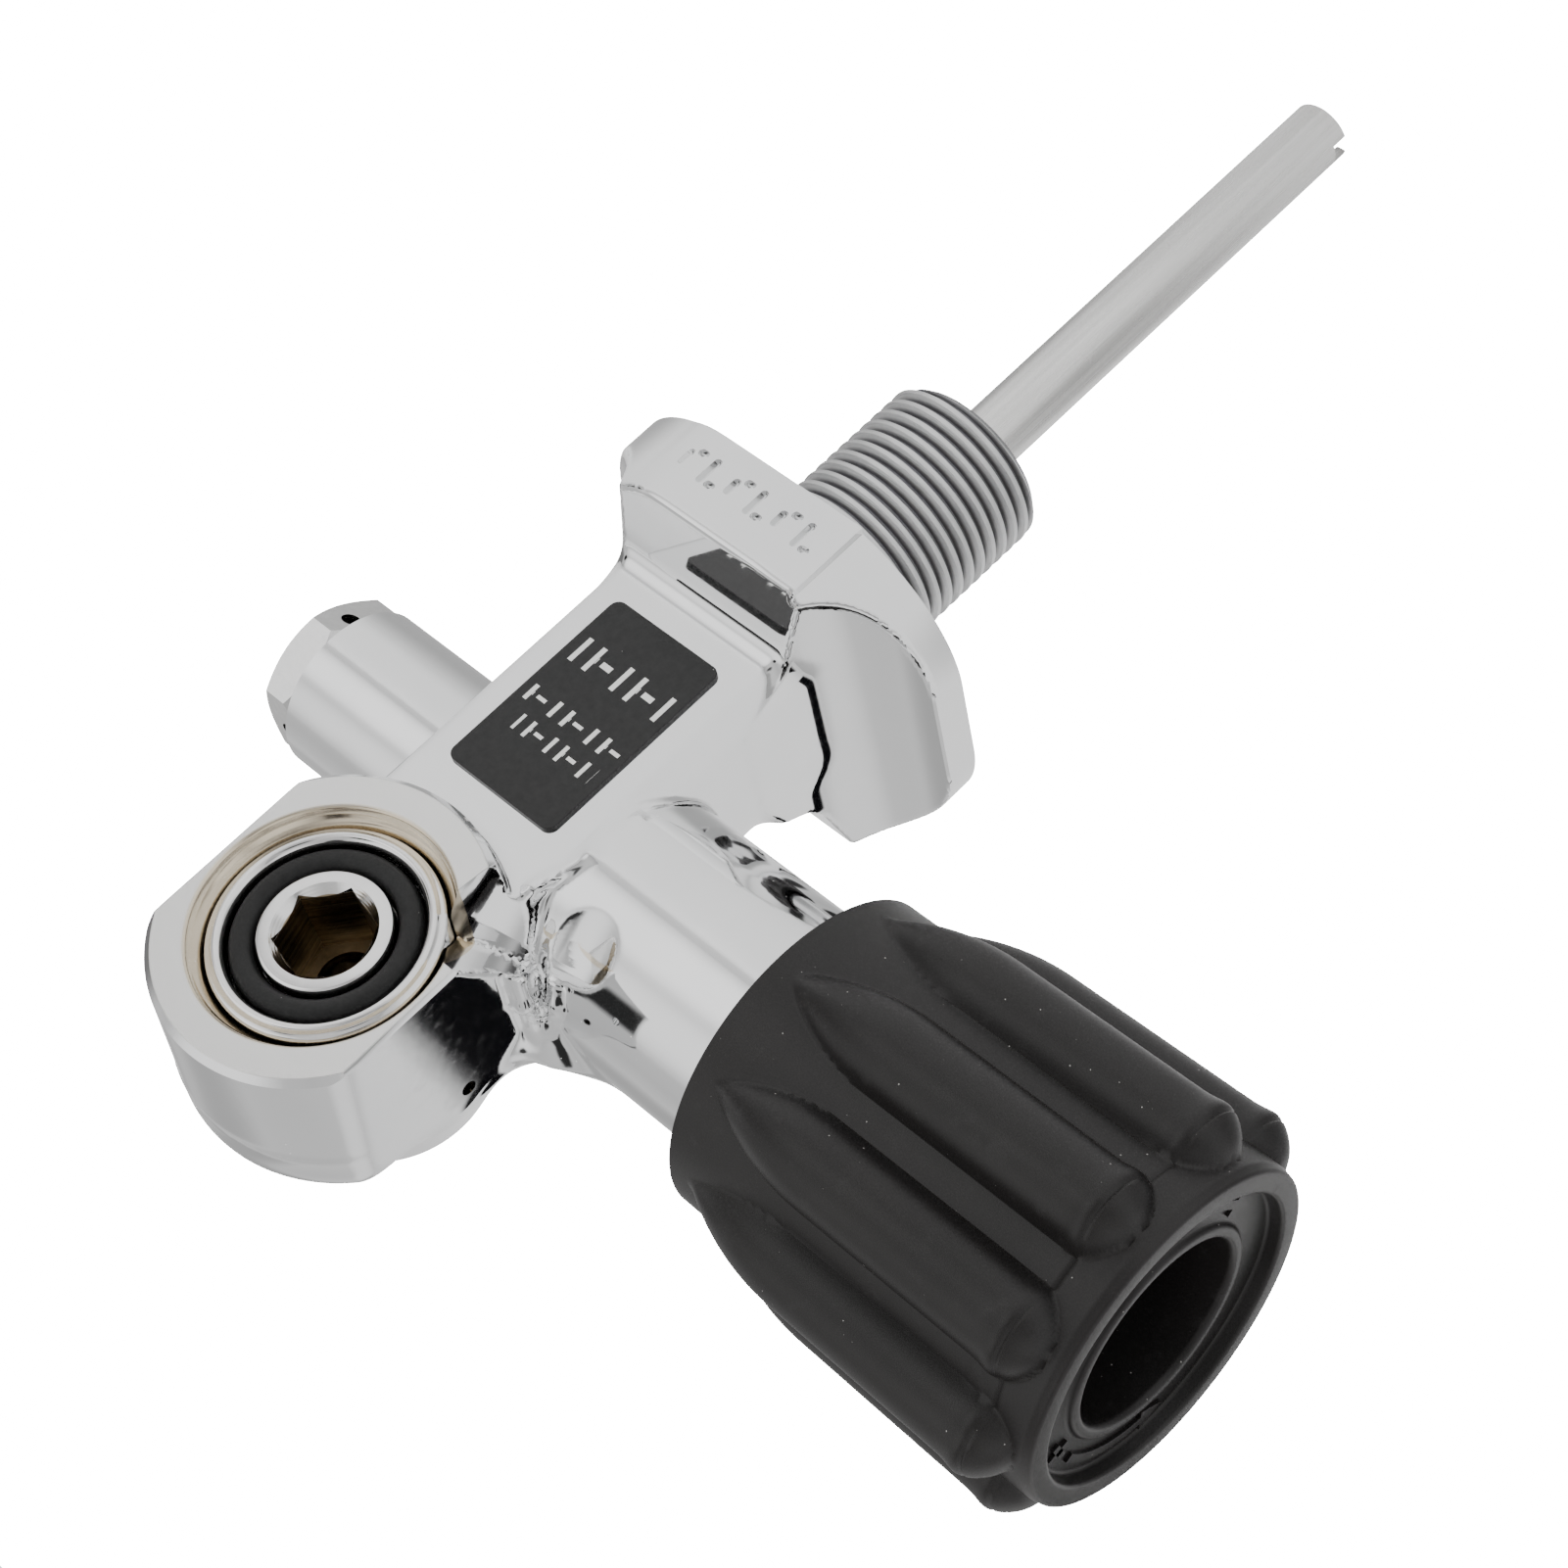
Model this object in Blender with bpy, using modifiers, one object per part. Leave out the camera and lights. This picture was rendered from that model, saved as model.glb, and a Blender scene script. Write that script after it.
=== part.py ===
"""Chromed cylinder valve with a yoke/DIN outlet, a rubber handwheel and a burst-disc plug.

The tank axis is Z. The origin is the centre of the flange's underside, which seats on the tank.
The outlet faces -Y, the handwheel is on -X and the safety plug on +X.
A turned piece is drawn about its own axis: its heights are distances outwards from the tank
axis, or downwards from the flange for the neck pieces. All lengths are in metres.
"""
import math

import bmesh
import bpy
from mathutils import Matrix, Vector

GAP = 0.0003              # clearance between pieces that touch

# Tank neck and flange
THREAD_RADIUS = 0.0090    # M18 x 1.5
THREAD_PITCH = 0.0015
THREAD_DEPTH = 0.0009
THREAD_START = 0.0030
THREAD_END = 0.0222
NECK_GROOVE_RADIUS = 0.0070
NECK_RING_WIRE = 0.0011
SEAT_UNDERCUT_RADIUS = 0.0100
SEAT_UNDERCUT_DEPTH = 0.0004
FLANGE_HALF = 0.0201
FLANGE_CORNER = 0.0150
FLANGE_FLAT_HALF = 0.0104
FLANGE_EDGE = 0.0035      # height of the flange's side wall on +X and -X
FLANGE_TAB = 0.0088       # height of its front and rear flats
FLARE_RADIUS = 0.0100
FLARE_TOP = 0.0145

# Column
COLUMN_FRONT = 0.0119
COLUMN_FRONT_HALF = 0.0093
COLUMN_CORNER = 0.0092
COLUMN_HALF = 0.0108
COLUMN_BACK_CENTRE = 0.0010
COLUMN_BASE = 0.0060
COLUMN_TOP = 0.0520

# Outlet boss
OUTLET_HEIGHT = 0.0563
OUTLET_FACE = 0.0157
OUTLET_FLAT = 0.0126
OUTLET_REAR = -0.0088
RECESS_RADIUS = 0.0116
RECESS_THREAD_RADIUS = 0.0109
RECESS_STEP = 0.0132
RECESS_FLOOR = -0.0006
OUTLET_PORT_RADIUS = 0.0032
DIMPLE_RADIUS = 0.0060
DIMPLE_DEPTH = 0.0020

# Bonnet boss and safety boss
WHEEL_HEIGHT = 0.03466
BONNET_RADIUS = 0.0120
BONNET_END = 0.0360
BONNET_BORE = 0.0086
BONNET_BORE_START = 0.0160
SAFETY_HEIGHT = 0.0333
SAFETY_RADIUS = 0.0083
SAFETY_END = 0.0272
SAFETY_BORE = 0.0060
SAFETY_FLOOR = 0.0160

# Gas passages
FEED_RADIUS = 0.0025
CHAMBER_RADIUS = 0.0053
CHAMBER_FLOOR = -0.0042
SEAT_RING = -0.0035       # height of the seat's edge
SEAT_RING_RADIUS = 0.0033
ORIFICE_RADIUS = 0.0020
ORIFICE_END = -0.0086
PASSAGE_RADIUS = 0.0015
PORT_RADIUS = 0.0012
VENT_RADIUS = 0.0007

# Dip tube
TUBE_RADIUS = 0.0032
TUBE_BORE = 0.0022
TUBE_TOP = 0.0120
TUBE_TIP = 0.0742
TUBE_SLOT = 0.0021

# Outlet insert
INSERT_RADIUS = 0.0105
INSERT_RIM = 0.0149
INSERT_HUB = 0.0145
INSERT_HUB_RADIUS = 0.0060
INSERT_GROOVE_RADIUS = 0.0088
INSERT_GROOVE_FLOOR = 0.0122
INSERT_END = 0.0004
INSERT_BORE = 0.0030
SOCKET_FLATS = 0.0080
SOCKET_FLOOR = 0.0060
SOCKET_TURN = math.radians(-18)
FACE_RING_WIRE = 0.0011
REAR_RING_RADIUS = 0.0054
REAR_RING_WIRE = 0.0009

# Safety plug
PLUG_START = 0.0177
PLUG_SHANK = 0.0057
PLUG_HEX_RADIUS = 0.0080
PLUG_HEX_START = SAFETY_END + GAP
PLUG_END = 0.0316
PLUG_VENT_RADIUS = 0.0009
PLUG_VENT_AT = 0.0288
PLUG_VENT_TURNS = (-26.5, 93.5, 213.5)   # degrees from -Y towards +Z, on alternate flats

# Stem, bonnet nut and seat carrier
STEM_RADIUS = 0.0040
STEM_GROOVE_RADIUS = 0.0028
STEM_RING_WIRE = 0.00065
STEM_GROOVES = (0.0243, 0.0288)
STEM_GROOVE_WIDTH = 0.0021
STEM_COLLAR_RADIUS = 0.0070
STEM_COLLAR_START = 0.0164
STEM_COLLAR_END = 0.0190
STEM_SQUARE = 0.0056
STEM_SQUARE_START = 0.0408
STEM_SQUARE_END = 0.0510
STEM_NECK = 0.0026
STEM_THREAD = 0.0024
STEM_END = 0.0634
TANG_START = 0.0090
TANG_WIDTH = 0.0046
TANG_THICKNESS = 0.0016
CARRIER_RADIUS = 0.0049
CARRIER_NOSE = -0.0022
CARRIER_END = 0.0125
CARRIER_SLOT_FLOOR = 0.0054
PAD_RADIUS = 0.0036
BONNET_NUT_START = 0.0202
BONNET_NUT_SHANK = 0.0083
BONNET_NUT_BORE = 0.0046
BONNET_NUT_FLATS = 0.0190
BONNET_NUT_END = 0.0410

# Handwheel
WHEEL_REAR = 0.0325
WHEEL_END = 0.0733
SKIRT_RADIUS = 0.0157
SKIRT_BORE = 0.0135
WHEEL_FACE_RADIUS = 0.0165
WHEEL_BORE = 0.0091
WHEEL_RIBS = 9
RIB_START = (0.0149, 0.0352)   # radius and height of a rib's axis at its rear
RIB_FINISH = (0.0158, 0.0712)
RIB_RADIUS = 0.0040
HUB_RADIUS = 0.0128
HUB_REAR = 0.0424
HUB_SHOULDER = 0.0492
HUB_END = 0.0584
HUB_POCKET = 0.0076
HUB_SQUARE = 0.0064
SPRING_RADIUS = 0.0052
SPRING_WIRE = 0.00055
SPRING_TURNS = 4.5
SPRING_END = 0.0570
WHEEL_NUT_FLATS = 0.0080
WHEEL_NUT_START = 0.0585
WHEEL_NUT_END = 0.0624

# Rating label
LABEL_HALF_WIDTH = 0.0066
LABEL_LOW = 0.0154
LABEL_HIGH = 0.0367
LABEL_CORNER = 0.0010
LABEL_THICKNESS = 0.00025

UPRIGHT = (0, 0, 0)
OUTWARD_FRONT = (math.radians(90), 0, 0)
OUTWARD_LEFT = (0, math.radians(-90), 0)
OUTWARD_RIGHT = (0, math.radians(90), 0)
DOWNWARD = (math.radians(180), 0, 0)
NECK = ((0, 0, 0), DOWNWARD)
OUTLET = ((0, 0, OUTLET_HEIGHT), OUTWARD_FRONT)
WHEEL = ((0, 0, WHEEL_HEIGHT), OUTWARD_LEFT)
SAFETY = ((0, 0, SAFETY_HEIGHT), OUTWARD_RIGHT)

for old in list(bpy.data.objects):
    bpy.data.objects.remove(old, do_unlink=True)

parts = bpy.data.collections.new("cylinder_valve")
cutters = bpy.data.collections.new("cutters")
bpy.context.scene.collection.children.link(parts)
bpy.context.scene.collection.children.link(cutters)


def material(name, colour, roughness, metallic):
    made = bpy.data.materials.new(name)
    made.use_nodes = True
    shader = made.node_tree.nodes["Principled BSDF"]
    shader.inputs["Base Color"].default_value = (*colour, 1)
    shader.inputs["Roughness"].default_value = roughness
    shader.inputs["Metallic"].default_value = metallic
    made.diffuse_color = (*colour, 1)
    return made


chrome = material("chrome", (0.80, 0.80, 0.79), 0.08, 1)
steel = material("steel", (0.62, 0.61, 0.59), 0.30, 1)
brass = material("brass", (0.55, 0.42, 0.20), 0.28, 1)
copper = material("copper", (0.72, 0.36, 0.22), 0.30, 1)
rubber = material("rubber", (0.02, 0.02, 0.02), 0.55, 0)
seal = material("seal_rubber", (0.025, 0.025, 0.025), 0.40, 0)
nylon = material("nylon", (0.78, 0.76, 0.70), 0.45, 0)
hub_plastic = material("hub_plastic", (0.03, 0.03, 0.035), 0.40, 0)
label_film = material("label_film", (0.03, 0.03, 0.03), 0.45, 0)


def place(mesh, name, finish, frame):
    """Link a mesh as a named object at a frame; with no finish it is a hidden helper."""
    made = bpy.data.objects.new(name, mesh)
    made.location, made.rotation_euler = frame
    if finish is None:
        cutters.objects.link(made)
        made.hide_render = True
        made.display_type = "WIRE"
    else:
        parts.objects.link(made)
        mesh.materials.append(finish)
    return made


def smooth(mesh):
    mesh.shade_smooth()
    mesh.set_sharp_from_angle(angle=math.radians(35))


def turned(name, finish, frame, profile, closed=False, steps=48):
    """Turn (radius, height) points about local Z. The points run down the outer side."""
    mesh = bpy.data.meshes.new(name)
    edges = [(i, i + 1) for i in range(len(profile) - 1)]
    if closed:
        edges.append((len(profile) - 1, 0))
    mesh.from_pydata([(radius, 0, height) for radius, height in profile], edges, [])
    made = place(mesh, name, finish, frame)
    screw = made.modifiers.new("turn", "SCREW")
    screw.steps = steps
    screw.render_steps = steps
    screw.use_merge_vertices = True
    screw.merge_threshold = 0.00001
    screw.use_smooth_shade = True
    return made


def ring(name, finish, frame, inner, outer, low, high, steps=40):
    """A flat washer."""
    profile = [(outer, high), (outer, low), (inner, low), (inner, high)]
    return turned(name, finish, frame, profile, closed=True, steps=steps)


def o_ring(name, frame, radius, wire, height, steps=32, sides=8):
    profile = []
    for i in range(sides):
        angle = -math.tau * i / sides
        profile.append((radius + wire * math.cos(angle), height + wire * math.sin(angle)))
    return turned(name, seal, frame, profile, closed=True, steps=steps)


def bar(name, finish, frame, radius, low, high, sides=40, spin=0.0):
    """A solid bar between two heights; radius is to its corners."""
    work = bmesh.new()
    made = bmesh.ops.create_cone(work, cap_ends=True, segments=sides, radius1=radius,
                                 radius2=radius, depth=high - low)
    move = Matrix.Rotation(spin, 4, "Z") @ Matrix.Translation((0, 0, (low + high) / 2))
    bmesh.ops.transform(work, matrix=move, verts=made["verts"])
    mesh = bpy.data.meshes.new(name)
    work.to_mesh(mesh)
    work.free()
    smooth(mesh)
    return place(mesh, name, finish, frame)


def across_flats(width, sides=6):
    """Corner radius of a regular bar of a given width across its flats."""
    return width / 2 / math.cos(math.pi / sides)


def drill(name, start, end, radius, sides=24):
    """A cutter for a round hole from one point to another."""
    start, end = Vector(start), Vector(end)
    turn = (end - start).to_track_quat("Z", "Y").to_euler()
    return bar(name, None, (start, turn), radius, 0, (end - start).length, sides=sides)


def plate(name, finish, frame, outline, low, high):
    """Extrude a closed outline of (x, y) points between two heights, as a mesh."""
    curve = bpy.data.curves.new(name, "CURVE")
    curve.dimensions = "2D"
    curve.fill_mode = "BOTH"
    curve.extrude = (high - low) / 2
    spline = curve.splines.new("POLY")
    spline.points.add(len(outline) - 1)
    for point, (x, y) in zip(spline.points, outline):
        point.co = (x, y, 0, 1)
    spline.use_cyclic_u = True
    guide = bpy.data.objects.new(name + "_outline", curve)
    bpy.context.scene.collection.objects.link(guide)
    bpy.context.view_layer.update()
    solid = guide.evaluated_get(bpy.context.evaluated_depsgraph_get())
    mesh = bpy.data.meshes.new_from_object(solid)
    bpy.data.objects.remove(guide)
    work = bmesh.new()
    work.from_mesh(mesh)
    bmesh.ops.translate(work, verts=work.verts, vec=(0, 0, (low + high) / 2))
    bmesh.ops.remove_doubles(work, verts=work.verts, dist=0.000001)
    bmesh.ops.recalc_face_normals(work, faces=work.faces)
    work.to_mesh(mesh)
    work.free()
    mesh.name = name
    mesh.materials.clear()
    smooth(mesh)
    return place(mesh, name, finish, frame)


def arc(centre, radius, start, end, steps):
    """Points on an arc; angles are in degrees."""
    points = []
    for i in range(steps + 1):
        angle = math.radians(start + (end - start) * i / steps)
        points.append((centre[0] + radius * math.cos(angle), centre[1] + radius * math.sin(angle)))
    return points


def combine(target, other, operation, solver="EXACT"):
    step = target.modifiers.new(other.name, "BOOLEAN")
    step.operation = operation
    step.object = other
    step.solver = solver


def join(target, *others):
    for other in others:
        combine(target, other, "UNION")


def cut(target, *others):
    for other in others:
        combine(target, other, "DIFFERENCE")


def keep_common(target, *others):
    for other in others:
        combine(target, other, "INTERSECT")


# Valve body: flange -------------------------------------------------------------------------

def flange_outline():
    """Rounded square with its front and rear flats squared off."""
    centre = FLANGE_HALF - FLANGE_CORNER
    flat_angle = math.degrees(math.acos((FLANGE_FLAT_HALF - centre) / FLANGE_CORNER))
    quarter = arc((centre, centre), FLANGE_CORNER, 0, flat_angle, 8)
    quarter.append((FLANGE_FLAT_HALF, FLANGE_HALF))
    outline = list(quarter)
    outline += [(-x, y) for x, y in reversed(quarter)]
    outline += [(-x, -y) for x, y in quarter]
    outline += [(x, -y) for x, y in reversed(quarter)]
    return outline


def flange_front_view():
    """Concave flares from the flange's low side walls up to the column."""
    flare = arc((FLANGE_HALF + 0.0004, FLANGE_EDGE + FLARE_RADIUS), FLARE_RADIUS, 268, 180, 9)
    right = [(0.0230, 0), (0.0230, FLANGE_EDGE)] + flare + [(flare[-1][0], FLARE_TOP)]
    return right + [(-x, z) for x, z in reversed(right)]


def flange_side_view():
    """Low front and rear tabs with sloping tops."""
    half = FLANGE_HALF
    back = [(0.0230, 0), (0.0230, FLANGE_TAB), (half, FLANGE_TAB), (0.0108, 0.0116),
            (0.0092, FLARE_TOP)]
    return back + [(-y, z) for y, z in reversed(back)]


def column_outline():
    half = [(COLUMN_FRONT_HALF, -COLUMN_FRONT), (COLUMN_HALF, -COLUMN_CORNER)]
    back = arc((0, COLUMN_BACK_CENTRE), COLUMN_HALF, 0, 180, 20)
    return half + back + [(-x, y) for x, y in reversed(half)]


def column_side_view():
    rear = COLUMN_HALF + COLUMN_BACK_CENTRE + 0.0005
    front = -COLUMN_FRONT - 0.0005
    return [(front, COLUMN_BASE), (rear, COLUMN_BASE), (rear, 0.0380), (0.0050, COLUMN_TOP),
            (front, COLUMN_TOP)]


def neck_profile():
    """Neck thread, its lower end first, and the groove of the neck ring under the flange."""
    root = THREAD_RADIUS - THREAD_DEPTH
    profile = [(0, THREAD_END), (root, THREAD_END)]
    turns = int((THREAD_END - THREAD_START) / THREAD_PITCH)
    for i in range(turns):
        height = THREAD_END - THREAD_PITCH * (i + 0.5)
        profile += [(THREAD_RADIUS, height), (root, height - THREAD_PITCH / 2)]
    profile += [(NECK_GROOVE_RADIUS, THREAD_START), (NECK_GROOVE_RADIUS, -0.0020), (0, -0.0020)]
    return profile


# A YZ outline is drawn flat, stood up along local Z and turned so that its normal is X.
ACROSS_X = (math.radians(90), 0, math.radians(90))
ACROSS_Y = (math.radians(90), 0, 0)
WIDE = 0.030

body = plate("valve_body", chrome, ((0, 0, 0), UPRIGHT), flange_outline(), 0, FLARE_TOP)
keep_common(
    body,
    plate("flange_front_cut", None, ((0, 0, 0), ACROSS_Y), flange_front_view(), -WIDE, WIDE),
    plate("flange_side_cut", None, ((0, 0, 0), ACROSS_X), flange_side_view(), -WIDE, WIDE))

column = plate("column_core", None, ((0, 0, 0), UPRIGHT), column_outline(), 0.0050, 0.0530)
keep_common(column, plate("column_side_cut", None, ((0, 0, 0), ACROSS_X), column_side_view(),
                          -WIDE, WIDE))

# Valve body: bosses and neck ----------------------------------------------------------------

outlet_boss = turned("outlet_boss", None, OUTLET, [
    (0, OUTLET_FACE), (0.0148, OUTLET_FACE), (0.0155, OUTLET_FACE - 0.0006), (0.0166, 0.0020),
    (0.0164, 0.0010), (0.0158, 0.0002), (0.0134, -0.0008), (0.0098, OUTLET_REAR + 0.0006),
    (0.0092, OUTLET_REAR), (0, OUTLET_REAR)], steps=56)
for side in (1, -1):
    flat = plate("outlet_flat_cut", None, (((OUTLET_FLAT + 0.010) * side, 0, OUTLET_HEIGHT),
                                           UPRIGHT),
                 [(-0.010, -0.030), (0.010, -0.030), (0.010, 0.020), (-0.010, 0.020)],
                 -0.025, 0.025)
    cut(outlet_boss, flat)

bonnet_boss = turned("bonnet_boss", None, WHEEL, [
    (0, BONNET_END), (BONNET_RADIUS - 0.0004, BONNET_END), (BONNET_RADIUS, BONNET_END - 0.0004),
    (BONNET_RADIUS, 0.0010), (0, 0.0010)], steps=48)
safety_boss = turned("safety_boss", None, SAFETY, [
    (0, SAFETY_END), (SAFETY_RADIUS - 0.0003, SAFETY_END), (SAFETY_RADIUS, SAFETY_END - 0.0003),
    (SAFETY_RADIUS, 0.0010), (0, 0.0010)], steps=40)
cut(body, bar("seat_undercut", None, NECK, SEAT_UNDERCUT_RADIUS, -SEAT_UNDERCUT_DEPTH, 0.001,
              sides=32))
join(body, column, outlet_boss, bonnet_boss, safety_boss,
     turned("neck_thread", None, NECK, neck_profile(), steps=32))

# Valve body: passages -----------------------------------------------------------------------

chamber_cut = turned("chamber_cut", None, WHEEL, [
    (0, 0.0370), (0.0108, 0.0370), (0.0108, 0.0339), (BONNET_BORE, 0.0339),
    (BONNET_BORE, BONNET_BORE_START), (CHAMBER_RADIUS, BONNET_BORE_START),
    (CHAMBER_RADIUS, CHAMBER_FLOOR), (SEAT_RING_RADIUS, CHAMBER_FLOOR),
    (SEAT_RING_RADIUS, SEAT_RING), (ORIFICE_RADIUS, SEAT_RING), (ORIFICE_RADIUS, ORIFICE_END),
    (0, ORIFICE_END)], steps=32)
recess_cut = turned("recess_cut", None, OUTLET, [
    (0, 0.0170), (RECESS_RADIUS + 0.0003, 0.0170), (RECESS_RADIUS + 0.0003, OUTLET_FACE - 0.0001),
    (RECESS_RADIUS, OUTLET_FACE - 0.0004), (RECESS_RADIUS, RECESS_STEP),
    (RECESS_THREAD_RADIUS, RECESS_STEP - 0.0006), (RECESS_THREAD_RADIUS, RECESS_FLOOR),
    (OUTLET_PORT_RADIUS, RECESS_FLOOR), (OUTLET_PORT_RADIUS, -0.0050), (0, -0.0050)], steps=48)
safety_cut = turned("safety_cut", None, SAFETY, [
    (0, 0.0280), (SAFETY_BORE, 0.0280), (SAFETY_BORE, SAFETY_FLOOR), (0, SAFETY_FLOOR)], steps=32)
tube_cut = turned("tube_cut", None, NECK, [
    (0, 0.0240), (TUBE_RADIUS + GAP, 0.0240), (TUBE_RADIUS + GAP, TUBE_TOP - GAP),
    (FEED_RADIUS, TUBE_TOP - GAP - 0.0006), (FEED_RADIUS, -WHEEL_HEIGHT), (0, -WHEEL_HEIGHT)],
    steps=32)
outlet_passage = drill("outlet_passage", (0.0074, 0.0020, WHEEL_HEIGHT),
                       (0.0020, 0.0036, OUTLET_HEIGHT), PASSAGE_RADIUS)
safety_port = drill("safety_port", (0.0175, 0, 0.0310), (-0.0005, 0, 0.0220), PORT_RADIUS)
vent_hole = drill("vent_hole", (-0.0140, -0.0004, 0.0554), (-0.0060, -0.0004, 0.0554),
                  VENT_RADIUS, sides=16)
dimple_work = bmesh.new()
bmesh.ops.create_uvsphere(dimple_work, u_segments=32, v_segments=16, radius=DIMPLE_RADIUS)
dimple_mesh = bpy.data.meshes.new("yoke_dimple")
dimple_work.to_mesh(dimple_mesh)
dimple_work.free()
dimple = place(dimple_mesh, "yoke_dimple", None,
               ((0, -OUTLET_REAR + DIMPLE_RADIUS - DIMPLE_DEPTH, OUTLET_HEIGHT), OUTWARD_FRONT))

# The exact solver leaves split edges where these bores cross the turned end faces.
for bore in (chamber_cut, recess_cut, safety_cut, tube_cut, outlet_passage, safety_port,
             vent_hole, dimple):
    combine(body, bore, "DIFFERENCE", solver="MANIFOLD")

# Tank neck ----------------------------------------------------------------------------------

o_ring("neck_o_ring", NECK, NECK_GROOVE_RADIUS + GAP + NECK_RING_WIRE, NECK_RING_WIRE,
       GAP + NECK_RING_WIRE)

dip_tube = turned("dip_tube", steel, NECK, [
    (TUBE_RADIUS - 0.0004, TUBE_TIP), (TUBE_RADIUS, TUBE_TIP - 0.0005), (TUBE_RADIUS, TUBE_TOP),
    (TUBE_BORE, TUBE_TOP), (TUBE_BORE, TUBE_TIP)], closed=True, steps=32)
tip_slot = plate("tip_slot", None, ((0, 0, 0), DOWNWARD),
                 [(-0.006, -TUBE_SLOT / 2), (0.006, -TUBE_SLOT / 2), (0.006, TUBE_SLOT / 2),
                  (-0.006, TUBE_SLOT / 2)], TUBE_TIP - 0.0018, TUBE_TIP + 0.001)
cut(dip_tube, tip_slot)

# Outlet insert and its seals ----------------------------------------------------------------

insert = turned("outlet_insert", chrome, OUTLET, [
    (0, INSERT_HUB), (INSERT_HUB_RADIUS - 0.0003, INSERT_HUB),
    (INSERT_HUB_RADIUS, INSERT_HUB - 0.0003), (INSERT_HUB_RADIUS, INSERT_GROOVE_FLOOR),
    (INSERT_GROOVE_RADIUS, INSERT_GROOVE_FLOOR), (INSERT_GROOVE_RADIUS, INSERT_RIM - 0.0003),
    (INSERT_GROOVE_RADIUS + 0.0003, INSERT_RIM), (INSERT_RADIUS - 0.0005, INSERT_RIM),
    (INSERT_RADIUS, INSERT_RIM - 0.0005), (INSERT_RADIUS, INSERT_END), (0.0066, INSERT_END),
    (0.0066, 0.0019), (0.0042, 0.0019), (0.0042, INSERT_END), (0, INSERT_END)], steps=40)
cut(insert,
    bar("socket_cut", None, OUTLET, across_flats(SOCKET_FLATS), SOCKET_FLOOR, 0.0160, sides=6,
        spin=SOCKET_TURN),
    bar("insert_bore", None, OUTLET, INSERT_BORE, -0.0010, 0.0080, sides=24))
o_ring("outlet_face_o_ring", OUTLET, (INSERT_HUB_RADIUS + INSERT_GROOVE_RADIUS) / 2,
       FACE_RING_WIRE, INSERT_GROOVE_FLOOR + GAP + FACE_RING_WIRE, steps=40)
o_ring("insert_rear_o_ring", OUTLET, REAR_RING_RADIUS, REAR_RING_WIRE,
       RECESS_FLOOR + GAP + REAR_RING_WIRE)

# Burst-disc assembly ------------------------------------------------------------------------

ring("safety_washer", copper, SAFETY, 0.0026, 0.0054, 0.0163, 0.0168, steps=32)
bar("burst_disc", copper, SAFETY, 0.0053, 0.0171, 0.0174, sides=32)
plug = bar("safety_plug", chrome, SAFETY, PLUG_HEX_RADIUS, PLUG_HEX_START, PLUG_END, sides=6,
           spin=math.radians(-4))
keep_common(plug, turned("plug_chamfer", None, SAFETY, [
    (0, PLUG_END + 0.0010), (0.0052, PLUG_END), (0.0070, PLUG_END - 0.0006),
    (0.0083, PLUG_END - 0.0020), (0.0083, PLUG_HEX_START + 0.0004), (0.0076, PLUG_HEX_START),
    (0, PLUG_HEX_START - 0.001)], steps=32))
join(plug, bar("plug_shank", None, SAFETY, PLUG_SHANK, PLUG_START, PLUG_HEX_START + 0.001,
               sides=32))
cut(plug, bar("plug_bore", None, SAFETY, 0.0024, 0.0170, 0.0296, sides=24))
vent_centre = Vector((PLUG_VENT_AT, 0, SAFETY_HEIGHT))
for turn in PLUG_VENT_TURNS:
    outwards = Vector((0, -math.cos(math.radians(turn)), math.sin(math.radians(turn))))
    cut(plug, drill("plug_vent_cut", vent_centre, vent_centre + outwards * 0.010,
                    PLUG_VENT_RADIUS, sides=12))

# Seat carrier and pad -----------------------------------------------------------------------

carrier = turned("seat_carrier", brass, WHEEL, [
    (0, CARRIER_END), (CARRIER_RADIUS - 0.0004, CARRIER_END),
    (CARRIER_RADIUS, CARRIER_END - 0.0004), (CARRIER_RADIUS, CARRIER_NOSE + 0.0003),
    (CARRIER_RADIUS - 0.0003, CARRIER_NOSE), (PAD_RADIUS + GAP, CARRIER_NOSE),
    (PAD_RADIUS + GAP, 0.0001), (0, 0.0001)], steps=40)
cut(carrier, plate("carrier_slot", None, WHEEL,
                   [(-0.0027, -0.0011), (0.0027, -0.0011), (0.0027, 0.0011), (-0.0027, 0.0011)],
                   CARRIER_SLOT_FLOOR, CARRIER_END + 0.001))
bar("seat_pad", nylon, WHEEL, PAD_RADIUS, SEAT_RING + GAP, 0.0001 - GAP, sides=32)

# Stem and its seals -------------------------------------------------------------------------

stem_profile = [
    (0, STEM_END), (STEM_THREAD - 0.0004, STEM_END), (STEM_THREAD, STEM_END - 0.0004),
    (STEM_THREAD, 0.0570), (STEM_NECK, 0.0568), (STEM_NECK, 0.0411), (STEM_RADIUS, 0.0410)]
for start in reversed(STEM_GROOVES):
    stem_profile += [
        (STEM_RADIUS, start + STEM_GROOVE_WIDTH), (STEM_GROOVE_RADIUS, start + STEM_GROOVE_WIDTH),
        (STEM_GROOVE_RADIUS, start), (STEM_RADIUS, start)]
stem_profile += [(STEM_RADIUS, STEM_COLLAR_END), (STEM_COLLAR_RADIUS, STEM_COLLAR_END),
                 (STEM_COLLAR_RADIUS, STEM_COLLAR_START), (0, STEM_COLLAR_START)]
stem = turned("valve_stem", steel, WHEEL, stem_profile, steps=32)
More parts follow.
